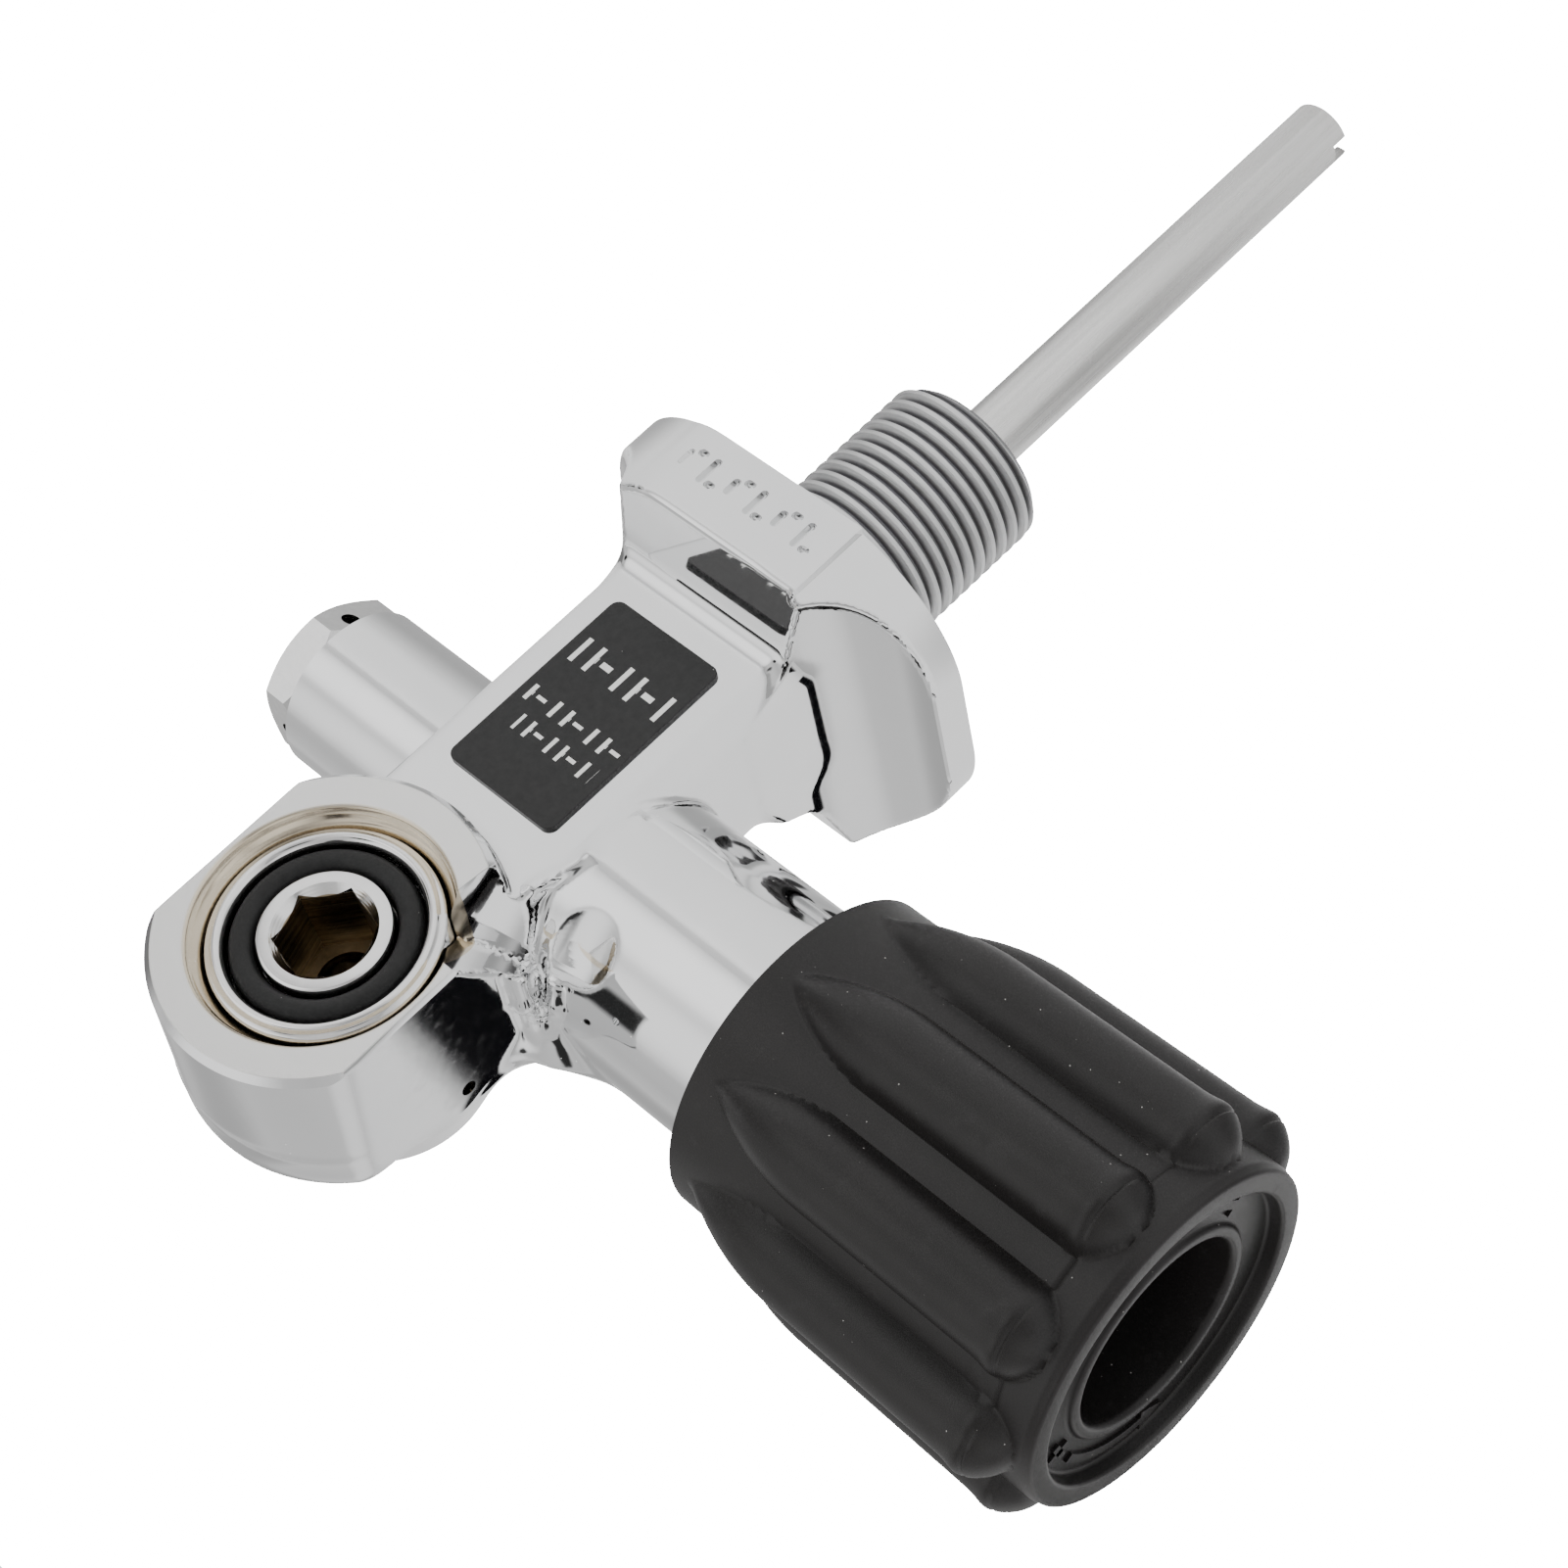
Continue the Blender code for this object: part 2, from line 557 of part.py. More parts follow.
join(stem,
     bar("stem_square_bar", None, WHEEL, across_flats(STEM_SQUARE, 4), STEM_SQUARE_START,
         STEM_SQUARE_END, sides=4, spin=math.radians(45)),
     plate("stem_tang", None, WHEEL,
           [(-TANG_WIDTH / 2, -TANG_THICKNESS / 2), (TANG_WIDTH / 2, -TANG_THICKNESS / 2),
            (TANG_WIDTH / 2, TANG_THICKNESS / 2), (-TANG_WIDTH / 2, TANG_THICKNESS / 2)],
           TANG_START, STEM_COLLAR_START + 0.0005))
for name, start in zip(("stem_inner_o_ring", "stem_outer_o_ring"), STEM_GROOVES):
    o_ring(name, WHEEL, STEM_GROOVE_RADIUS + 0.0002 + STEM_RING_WIRE, STEM_RING_WIRE,
           start + STEM_GROOVE_WIDTH / 2, steps=24)
ring("stem_thrust_washer", nylon, WHEEL, 0.0045, 0.0074, STEM_COLLAR_END + GAP,
     BONNET_NUT_START - GAP, steps=32)

# Bonnet nut ---------------------------------------------------------------------------------

bonnet_nut = bar("bonnet_nut", chrome, WHEEL, BONNET_NUT_SHANK, BONNET_NUT_START, 0.0370,
                 sides=40)
join(bonnet_nut, bar("bonnet_nut_head", None, WHEEL, across_flats(BONNET_NUT_FLATS),
                     BONNET_END + GAP, BONNET_NUT_END, sides=6))
cut(bonnet_nut, turned("bonnet_nut_bore", None, WHEEL, [
    (0, 0.0420), (STEM_RADIUS + GAP, 0.0420), (STEM_RADIUS + GAP, 0.0340),
    (BONNET_NUT_BORE, 0.0338), (BONNET_NUT_BORE, 0.0190), (0, 0.0190)], steps=32))
o_ring("bonnet_o_ring", WHEEL, 0.0096, 0.0008, 0.0349)
ring("friction_washer", nylon, WHEEL, 0.0044, 0.0086, BONNET_NUT_END + GAP, HUB_REAR - GAP,
     steps=32)

# Handwheel ----------------------------------------------------------------------------------

hub = bar("handwheel_hub", hub_plastic, WHEEL, HUB_RADIUS, HUB_REAR, HUB_END, sides=40)
cut(hub,
    bar("hub_pocket", None, WHEEL, HUB_POCKET, HUB_SHOULDER, HUB_END + 0.001, sides=32),
    bar("hub_square_cut", None, WHEEL, across_flats(HUB_SQUARE, 4), HUB_REAR - 0.001,
        HUB_SHOULDER + 0.001, sides=4, spin=math.radians(45)))

grip = turned("handwheel_grip", rubber, WHEEL, [
    (0.0158, WHEEL_END), (WHEEL_FACE_RADIUS, WHEEL_END - 0.0008), (0.0162, 0.0680),
    (0.0156, 0.0560), (0.0153, 0.0440), (SKIRT_RADIUS, 0.0370), (SKIRT_RADIUS, WHEEL_REAR + 0.0006),
    (SKIRT_RADIUS - 0.0006, WHEEL_REAR), (SKIRT_BORE, WHEEL_REAR), (SKIRT_BORE, HUB_REAR - GAP),
    (HUB_RADIUS + GAP, HUB_REAR - GAP), (HUB_RADIUS + GAP, HUB_END + GAP),
    (WHEEL_BORE, HUB_END + GAP), (WHEEL_BORE, 0.0723), (0.0100, 0.0723), (0.0103, 0.0718),
    (0.0140, 0.0718), (0.0142, WHEEL_END)], closed=True, steps=45)


def rib_radius(share):
    """Half-thickness of a rib along its length: a long nose, a full middle and a round end."""
    nose = min(1.0, share / 0.28)
    end = min(1.0, (1.0 - share) / 0.10)
    return RIB_RADIUS * math.sin(nose * math.pi / 2) ** 0.8 * math.sqrt(1 - (1 - end) ** 2)


start = Vector((RIB_START[0], 0, RIB_START[1]))
finish = Vector((RIB_FINISH[0], 0, RIB_FINISH[1]))
rib_length = (finish - start).length
rib_lean = math.atan2(finish.x - start.x, finish.z - start.z)
rib_profile = [(rib_radius(share), rib_length * share)
               for share in (1, 0.99, 0.965, 0.93, 0.88, 0.60, 0.30, 0.18, 0.08, 0.02, 0)]
wheel_turn = Matrix.Translation(WHEEL[0]) @ Matrix.Rotation(math.radians(-90), 4, "Y")
for i in range(WHEEL_RIBS):
    rib = turned("rib_helper", None, ((0, 0, 0), UPRIGHT), rib_profile, steps=12)
    angle = math.tau * i / WHEEL_RIBS - math.pi / 2
    rib.matrix_world = (wheel_turn @ Matrix.Rotation(angle, 4, "Z")
                        @ Matrix.Translation(start) @ Matrix.Rotation(rib_lean, 4, "Y"))
    join(grip, rib)
grip_clearance = turned("grip_clearance", None, WHEEL, [
    (0, HUB_END + GAP), (HUB_RADIUS + GAP, HUB_END + GAP), (HUB_RADIUS + GAP, HUB_REAR - GAP),
    (SKIRT_BORE, HUB_REAR - GAP), (SKIRT_BORE, WHEEL_REAR - 0.001), (0, WHEEL_REAR - 0.001)],
    steps=45)
cut(grip, grip_clearance)

ring("handwheel_washer", steel, WHEEL, 0.0028, 0.0072, SPRING_END + GAP, WHEEL_NUT_START - GAP,
     steps=32)
wheel_nut = bar("handwheel_nut", steel, WHEEL, across_flats(WHEEL_NUT_FLATS), WHEEL_NUT_START,
                WHEEL_NUT_END, sides=6)
cut(wheel_nut, bar("wheel_nut_bore", None, WHEEL, STEM_THREAD + GAP, 0.0570, 0.0640, sides=24))

coil = bpy.data.curves.new("handwheel_spring", "CURVE")
coil.dimensions = "3D"
coil.bevel_depth = SPRING_WIRE
coil.bevel_resolution = 2
coil.use_fill_caps = True
coil.materials.append(steel)
coil_points = int(SPRING_TURNS * 12)
coil_low = HUB_SHOULDER + GAP + SPRING_WIRE
coil_high = SPRING_END - SPRING_WIRE
spline = coil.splines.new("POLY")
spline.points.add(coil_points)
for i, point in enumerate(spline.points):
    share = i / coil_points
    angle = math.tau * SPRING_TURNS * share
    point.co = (SPRING_RADIUS * math.cos(angle), SPRING_RADIUS * math.sin(angle),
                coil_low + (coil_high - coil_low) * share, 1)
spring = bpy.data.objects.new("handwheel_spring", coil)
spring.location, spring.rotation_euler = WHEEL
parts.objects.link(spring)

# Rating label -------------------------------------------------------------------------------

low = LABEL_LOW - WHEEL_HEIGHT
high = LABEL_HIGH - WHEEL_HEIGHT
inner = LABEL_HALF_WIDTH - LABEL_CORNER
label_outline = (
    arc((inner, high - LABEL_CORNER), LABEL_CORNER, 0, 90, 4)
    + arc((-inner, high - LABEL_CORNER), LABEL_CORNER, 90, 180, 4)
    + arc((-inner, low + LABEL_CORNER), LABEL_CORNER, 180, 270, 4)
    + arc((inner, low + LABEL_CORNER), LABEL_CORNER, 270, 360, 4))
plate("rating_label", label_film, ((0, 0, WHEEL_HEIGHT), OUTWARD_FRONT), label_outline,
      COLUMN_FRONT + GAP / 2, COLUMN_FRONT + GAP / 2 + LABEL_THICKNESS)
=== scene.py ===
import math

import bmesh
import bpy
import numpy as np
from mathutils import Matrix, Vector


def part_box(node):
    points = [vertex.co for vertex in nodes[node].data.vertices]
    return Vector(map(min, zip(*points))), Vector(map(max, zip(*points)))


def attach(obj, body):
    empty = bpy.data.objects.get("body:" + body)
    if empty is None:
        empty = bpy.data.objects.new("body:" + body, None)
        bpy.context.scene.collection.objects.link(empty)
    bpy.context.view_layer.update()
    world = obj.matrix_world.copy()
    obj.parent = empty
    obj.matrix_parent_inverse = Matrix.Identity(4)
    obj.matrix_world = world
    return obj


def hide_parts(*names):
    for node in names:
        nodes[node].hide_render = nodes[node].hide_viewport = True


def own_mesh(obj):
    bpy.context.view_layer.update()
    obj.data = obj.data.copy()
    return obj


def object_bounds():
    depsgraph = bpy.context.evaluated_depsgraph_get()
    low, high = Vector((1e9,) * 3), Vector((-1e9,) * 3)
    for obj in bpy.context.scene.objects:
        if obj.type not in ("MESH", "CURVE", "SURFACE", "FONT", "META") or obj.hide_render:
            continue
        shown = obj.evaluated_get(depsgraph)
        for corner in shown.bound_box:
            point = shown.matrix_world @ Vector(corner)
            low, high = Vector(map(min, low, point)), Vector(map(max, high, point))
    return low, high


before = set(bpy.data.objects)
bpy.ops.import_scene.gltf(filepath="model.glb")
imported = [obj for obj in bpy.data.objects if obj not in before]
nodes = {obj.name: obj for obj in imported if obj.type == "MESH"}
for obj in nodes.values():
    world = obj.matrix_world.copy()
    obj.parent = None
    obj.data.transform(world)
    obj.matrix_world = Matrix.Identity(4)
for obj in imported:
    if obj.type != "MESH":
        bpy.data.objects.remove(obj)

cad_low, cad_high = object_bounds()
MM = 0.001

# Studio. A white table under broad soft light, seen from in front of the outlet and above,
# with the camera rolled so that the tank end of the valve points up and to the right.
LENS, SENSOR = 79.81, 36
CAMERA_PLACE = (-0.16003, -0.25503, 0.11388)
camera_back = Vector((-0.47634, -0.82051, 0.31599)).normalized()
camera_up = Vector((0.51840, -0.55236, -0.65281))
camera_right = camera_up.cross(camera_back).normalized()
camera_up = camera_back.cross(camera_right)
camera_data = bpy.data.cameras.new("camera")
camera_data.sensor_width = SENSOR
camera_data.lens = LENS
camera_data.clip_start = 0.01
camera = bpy.data.objects.new("camera", camera_data)
camera.matrix_world = Matrix.Translation(CAMERA_PLACE) @ Matrix(
    (camera_right, camera_up, camera_back)).transposed().to_4x4()
bpy.context.scene.collection.objects.link(camera)
bpy.context.scene.camera = camera


class Field:
    """One socket of a shader tree. Arithmetic on fields adds Math nodes."""

    def __init__(self, tree, socket=None):
        self.tree = tree
        self.socket = socket

    def node(self, kind, settings=None, inputs=None, out=0):
        made = self.tree.nodes.new("ShaderNode" + kind)
        for name, value in (settings or {}).items():
            if name == "stops":
                elements = made.color_ramp.elements
                while len(elements) < len(value):
                    elements.new(1)
                for element, (place, shade) in zip(elements, value):
                    element.position = place
                    shade = shade if hasattr(shade, "__len__") else (shade,) * 3
                    element.color = (*shade, 1)
            else:
                setattr(made, name, value)
        for name, value in (inputs or {}).items():
            socket = made.inputs[name]
            if isinstance(value, Field):
                self.tree.links.new(value.socket, socket)
            elif hasattr(value, "__len__") and len(socket.default_value) == 4:
                socket.default_value = (*value, 1)
            else:
                socket.default_value = value
        return Field(self.tree, made.outputs[out])

    def math(self, operation, *values):
        return self.node("Math", {"operation": operation}, dict(enumerate(values)))

    def __add__(self, other):
        return self.math("ADD", self, other)

    def __sub__(self, other):
        return self.math("SUBTRACT", self, other)

    def __rsub__(self, other):
        return self.math("SUBTRACT", other, self)

    def __mul__(self, other):
        return self.math("MULTIPLY", self, other)

    def __truediv__(self, other):
        return self.math("DIVIDE", self, other)

    def __gt__(self, other):
        return self.math("GREATER_THAN", self, other)

    def __lt__(self, other):
        return self.math("LESS_THAN", self, other)

    __radd__ = __add__
    __rmul__ = __mul__

    def parts(self):
        """The x, y and z of a vector field."""
        return [self.node("SeparateXYZ", inputs={"Vector": self}, out=i) for i in range(3)]

    def ramp(self, *stops):
        return self.node("ValToRGB", {"stops": stops}, {"Fac": self})

    def step(self, low, high):
        """Rises from 0 to 1 between two values, with soft ends."""
        return self.node("MapRange", {"interpolation_type": "SMOOTHSTEP"},
                         {"Value": self, "From Min": low, "From Max": high})

    def mix(self, low, high):
        """This field is the factor between two colours."""
        return self.node("Mix", {"data_type": "RGBA"}, {0: self, 6: low, 7: high}, out=2)

    def noise(self, scale, detail=2.0, roughness=0.5):
        """This field is the place at which the noise is read."""
        return self.node("TexNoise", inputs={"Vector": self, "Scale": scale, "Detail": detail,
                                             "Roughness": roughness})


world = bpy.data.worlds.new("studio")
bpy.context.scene.world = world
world.use_nodes = True
world.node_tree.nodes.clear()
sky = Field(world.node_tree)
toward = sky.node("TexCoord")
_, _, rise = toward.parts()
glow = (rise * 0.5 + 0.5).ramp((0.0, 0.6), (0.47, 0.50), (0.53, 0.58), (0.62, 0.80), (0.72, 0.84),
                               (0.88, 0.66), (1.0, 0.80))


def patch(shade, way, inner, outer, level):
    """Blends the sky to one level inside a soft round patch about a direction, in degrees."""
    way = Vector(way).normalized()
    aim = toward.node("VectorMath", {"operation": "DOT_PRODUCT"}, {0: toward, 1: way}, out=1)
    cover = aim.step(math.cos(math.radians(outer)), math.cos(math.radians(inner)))
    return cover.mix(shade, (level,) * 3)


# Large soft boxes, then the darker room between them: direction, edges in degrees, level.
for way, inner, outer, level in (
        ((0.47, -0.80, 0.32), 5, 26, 1.75), ((0.30, -0.30, 0.90), 8, 34, 1.45),
        ((-0.95, 0.05, 0.35), 6, 34, 1.35), ((-0.45, 0.86, 0.22), 4, 22, 1.10),
        ((0.36, 0.86, 0.34), 4, 20, 0.48), ((0.95, 0.25, 0.15), 8, 30, 0.22),
        ((-0.10, 0.35, 0.93), 7, 13, 0.03), ((-0.45, -0.10, 0.88), 6, 12, 0.03),
        ((0.05, -0.65, 0.75), 5, 10, 0.03), ((0.85, -0.35, 0.40), 6, 12, 0.03),
        ((-0.80, 0.45, 0.40), 5, 11, 0.05),
        ((-0.48, -0.82, 0.32), 4, 15, 0.10), ((-0.85, -0.50, 0.02), 4, 16, 0.45)):
    glow = patch(glow, way, inner, outer, level)
light = sky.node("Background", inputs={"Color": glow, "Strength": 1.0})
output = world.node_tree.nodes.new("ShaderNodeOutputWorld")
world.node_tree.links.new(light.socket, output.inputs["Surface"])


class Paint(Field):
    """The start of a material's fields: its object coordinates in millimetres."""

    def __init__(self, name):
        self.made = bpy.data.materials.new(name)
        self.made.use_nodes = True
        super().__init__(self.made.node_tree)
        place = self.node("TexCoord", out=3)
        scaled = self.node("VectorMath", {"operation": "SCALE"}, {0: place, "Scale": 1 / MM})
        self.socket = scaled.socket

    def length(self, across, up):
        """How far a place is from the point where both fields are zero."""
        return self.math("SQRT", across * across + up * up)

    def finish(self, colour, rough=0.5, metal=0.0, bump=None, depth=0.02, **constants):
        """Fields or plain values for the surface; depth is the bump's height in millimetres."""
        shader = self.tree.nodes["Principled BSDF"]
        values = {"Base Color": colour, "Roughness": rough, "Metallic": metal}
        if bump is not None:
            values["Normal"] = self.node("Bump", inputs={"Height": bump, "Distance": depth * MM})
        for socket, value in values.items():
            if isinstance(value, Field):
                self.tree.links.new(value.socket, shader.inputs[socket])
            elif socket == "Base Color":
                shader.inputs[socket].default_value = (*value, 1)
            else:
                shader.inputs[socket].default_value = value
        for socket, value in constants.items():
            shader.inputs[socket.replace("_", " ")].default_value = value
        return self.made

    def stretched(self, along_x, along_y, along_z):
        """The same places, scaled by a factor along each axis."""
        return self.node("VectorMath", {"operation": "MULTIPLY"},
                         {0: self, 1: (along_x, along_y, along_z)})

    def specks(self, scale, share):
        """Tiny dots of dust: 1 in a dot."""
        dots = self.node("TexVoronoi", inputs={"Vector": self, "Scale": scale}, out=0)
        sizes = self.node("TexVoronoi", inputs={"Vector": self, "Scale": scale}, out=1)
        pick = sizes.node("SeparateColor", inputs={"Color": sizes}) > 1.0 - share
        return (dots < 0.05) * pick


PAPER_HALF_WIDTH = 12


def sheet_of_paper(name, height, glow, shade, dark):
    """One wide level sheet of the studio's white paper, with two pools of painted shade beside the
    valve.
    """
    paint = Paint(name)
    x, y, _ = paint.parts()
    # Painted shade: two soft round pools darken the paper beside the valve, darkest at their centres, so
    # the metal reflects dark patches there.
    left = paint.length(x + 120.0, y - 20.0).step(40, 130)
    right = paint.length(x - 130.0, y - 60.0).step(50, 150)
    paper = left * right * (shade - dark) + dark + paint.noise(0.004, 3) * 0.02
    work = bmesh.new()
    bmesh.ops.create_grid(work, x_segments=2, y_segments=2, size=PAPER_HALF_WIDTH)
    mesh = bpy.data.meshes.new(name)
    work.to_mesh(mesh)
    work.free()
    mesh.materials.append(paint.finish(paper, 0.8, Emission_Color=(1, 1, 1, 1),
                                       Emission_Strength=glow))
    made = bpy.data.objects.new(name, mesh)
    made.location.z = height
    bpy.context.scene.collection.objects.link(made)
    return made


# The table is lit from below: the lens sees it burnt out, while the metal sees paper with two pools of
# painted shade.
lit_table = sheet_of_paper("lit_table", cad_low.z - 0.0006, 22.0, 0.9, 0.9)
lit_table.visible_diffuse = False
lit_table.visible_glossy = False
lit_table.visible_transmission = False
lit_table.visible_shadow = False
# This is the paper the metal sees, with its two pools of painted shade down to 0.30.
paper_table = sheet_of_paper("paper_table", cad_low.z - 0.0012, 0.12, 0.88, 0.30)
paper_table.visible_camera = False


def soft_light(name, place, aim, size, power):
    """A rectangular lamp that lights the rubber and paper; the metal reflects the sky instead."""
    data = bpy.data.lights.new(name, "AREA")
    data.shape = "RECTANGLE"
    data.size, data.size_y = size
    data.energy = power
    lamp = bpy.data.objects.new(name, data)
    lamp.location = place
    lamp.rotation_euler = (Vector(place) - Vector(aim)).to_track_quat("Z", "Y").to_euler()
    lamp.visible_glossy = False
    bpy.context.scene.collection.objects.link(lamp)


soft_light("front_softbox", (0.35, -0.75, 0.45), (0, 0, 0.02), (0.7, 0.35), 3)
soft_light("top_softbox", (-0.35, 0.1, 0.9), (0, 0, 0), (0.8, 0.5), 5)


FLAG_FADE = 10


def flag(name, centre, facing, size):
    """A black card that only reflections see, as the studio's dark surroundings."""
    paint = Paint(name)
    height = paint.parts()[1]
    top = size[1] / MM / 2
    cover = height.step(top, top - FLAG_FADE)
    shader = paint.tree.nodes["Principled BSDF"]
    shader.inputs["Base Color"].default_value = (0.004, 0.004, 0.005, 1)
    shader.inputs["Specular IOR Level"].default_value = 0
    paint.tree.links.new(cover.socket, shader.inputs["Alpha"])
    work = bmesh.new()
    bmesh.ops.create_grid(work, x_segments=1, y_segments=1, size=0.5)
    bmesh.ops.scale(work, verts=work.verts, vec=(size[0], size[1], 1))
    mesh = bpy.data.meshes.new(name)
    work.to_mesh(mesh)
    work.free()
    mesh.materials.append(paint.made)
    card = bpy.data.objects.new(name, mesh)
    across = Vector((0, 0, 1)).cross(Vector(facing)).normalized()
    card.matrix_world = Matrix.Translation(centre) @ Matrix(
        (across, Vector((0, 0, 1)), Vector(facing).normalized())).transposed().to_4x4()
    card.visible_camera = False
    card.visible_diffuse = False
    card.visible_shadow = False
    bpy.context.scene.collection.objects.link(card)


flag("rear_flag", (-0.186, 0.290, cad_low.z + 0.0500), (0.5, -0.84, 0), (0.30, 0.038))

# Valve body. One hot forging of brass, bright chrome plated: flange, column, outlet boss,
# bonnet boss and safety boss run into each other with forged fillets and folds of flash.
# Sizes are in millimetres, and angles that a surface leans at are given as unit normals.
OUTLET_Z, WHEEL_Z, SAFETY_Z = 56.3, 34.66, 33.3
FLANGE_HALF, FLANGE_CORNER = 20.1, 15.0
TAB_HALF, ROUNDED_TAB_HALF = 10.4, 11.6
FLARE_RADIUS, FLARE_X, FLARE_Z = 10.0, 20.2, 13.5
COLUMN_RADIUS, COLUMN_BACK, COLUMN_FRONT, COLUMN_FACE_HALF = 10.8, 1.0, 11.9, 9.3
DRUM_RADIUS, DRUM_HALF_WIDTH, FACE_OUT, DRUM_BACK = 16.6, 12.6, 15.7, 8.8
BONNET_RADIUS, BONNET_END = 12.0, 36.0
SAFETY_RADIUS, SAFETY_END = 8.3, 27.2
GRID_CELL = 0.36


def merge(a, b, radius):
    """Union of two distances with a fillet."""
    near = np.maximum(radius - np.abs(a - b), 0) / np.maximum(radius, 1e-6)
    return np.minimum(a, b) - near * near * radius * 0.25


def meet(a, b, radius):
    """Intersection of two distances with a rounded edge."""
    return -merge(-a, -b, radius)


def ridge(x, y, z, start, end, radius):
    """Distance to a round bar between two points."""
    start, end = np.array(start), np.array(end)
    along = end - start
    share = ((x - start[0]) * along[0] + (y - start[1]) * along[1]
             + (z - start[2]) * along[2]) / (along @ along)
    share = np.clip(share, 0, 1)
    return np.sqrt((x - start[0] - share * along[0]) ** 2 + (y - start[1] - share * along[1]) ** 2
                   + (z - start[2] - share * along[2]) ** 2) - radius


def flange_distance(x, y, z):
    side, front = np.abs(x), np.abs(y)
    straight = FLANGE_HALF - FLANGE_CORNER
    outline = np.hypot(np.maximum(side - straight, 0),
                       np.maximum(front - straight, 0)) - FLANGE_CORNER
    tab = np.where(x > 0, meet(side - ROUNDED_TAB_HALF, front - FLANGE_HALF, 5.0),
                   meet(side - TAB_HALF, front - FLANGE_HALF, 0.3))
    outline = merge(outline, tab, 0.3)
    flare = FLARE_RADIUS - np.hypot(side - FLARE_X, np.minimum(z - FLARE_Z, 0))
    slope = (front - FLANGE_HALF) * 0.288 + (z - 8.8) * 0.958
    rise_to_column = (front - 10.8) * 0.876 + (z - 11.6) * 0.483
    roof = merge(slope, rise_to_column, 1.6)
    solid = meet(meet(outline, flare, 0.35), roof, 0.35)
    back = np.hypot(x, np.maximum(y - COLUMN_BACK, 0)) - 10.6
    solid = meet(solid, (back + (z - 17.0) * 2.0) * 0.447, 0.8)
    return np.maximum(np.maximum(solid, z - 22.0), -z - 1.0)


def column_distance(x, y, z):
    side = np.abs(x)
    solid = np.hypot(x, np.maximum(y - COLUMN_BACK, 0)) - COLUMN_RADIUS
    solid = meet(solid, -y - COLUMN_FRONT, 0.4)
    solid = meet(solid, (side - COLUMN_FACE_HALF) * 0.874 - (y + COLUMN_FRONT) * 0.486, 0.5)
    solid = meet(solid, (y - 11.8) * 0.873 + (z - 38) * 0.487, 1.5)
    return np.maximum(np.maximum(solid, z - 52), 5 - z)


def outlet_distance(x, y, z):
    radius, out = np.hypot(x, z - OUTLET_Z), -y
    drum = meet((radius - DRUM_RADIUS) * 0.996 + (out - 1.8) * 0.09, -out - 0.6, 2.2)
    drum = np.maximum(drum, out - 16.5)
    cone = meet((radius - 13.2) * 0.914 - (out + 1.0) * 0.406, -out - 9.6, 0.2)
    cone = np.maximum(cone, out - 3)
    return meet(merge(drum, cone, 1.8), np.abs(x) - DRUM_HALF_WIDTH, 0.9)


def body_distance(x, y, z):
    """Signed distance to the forging, in millimetres."""
    solid = merge(flange_distance(x, y, z), column_distance(x, y, z), 1.6)
    solid = merge(solid, outlet_distance(x, y, z), 0.9)
    inner_end = x + 9.6 - 8 * np.clip((y + 2) / 8, 0, 1)
    bonnet = np.maximum(np.hypot(y, z - WHEEL_Z) - BONNET_RADIUS,
                        np.maximum(-x - BONNET_END - 0.5, inner_end))
    rear = np.clip((y + 3) / 6, 0, 1) * np.clip((z - 36) / 5, 0, 1)
    solid = merge(solid, bonnet, 0.7 + 9 * rear)
    safety = np.maximum(np.hypot(y, z - SAFETY_Z) - SAFETY_RADIUS,
                        np.maximum(x - SAFETY_END - 0.5, -x - 1))
    solid = merge(solid, safety, 0.6 + 2.5 * np.clip(y / 4, 0, 1))
    for start, end, radius in (
            ((-12.3, -14.8, 46.2), (-13.1, -11.4, 47.4), 0.62),
            ((-13.1, -11.4, 47.4), (-13.5, -6.0, 48.0), 0.80),
            ((-13.5, -6.0, 48.0), (-12.9, 0.4, 47.6), 0.60),
            ((-12.3, -12.0, 41.6), (-13.8, -8.6, 43.7), 0.60),
            ((-9.3, -11.8, 41.4), (-10.9, -11.6, 35.8), 0.40),
            ((-10.9, -11.6, 35.8), (-11.0, -11.0, 30.5), 0.36),
            ((-13.8, -8.6, 43.7), (-14.7, -4.4, 45.7), 0.75),
            ((-14.7, -4.4, 45.7), (-14.0, -0.8, 46.8), 0.55)):
        solid = merge(solid, ridge(x, y, z, start, end, radius), 0.9)
    # The scallop left on the bonnet boss by trimming the flash.
    scallop = np.hypot(x + 15.8, (y + 9.46) * -0.788 + (z - 42.04) * 0.616 - 8.4) - 9.0
    reach = np.abs((y + 9.46) * 0.616 + (z - 42.04) * 0.788) - 4.2
    solid = meet(solid, -np.maximum(scallop, reach), 0.12)
    return solid


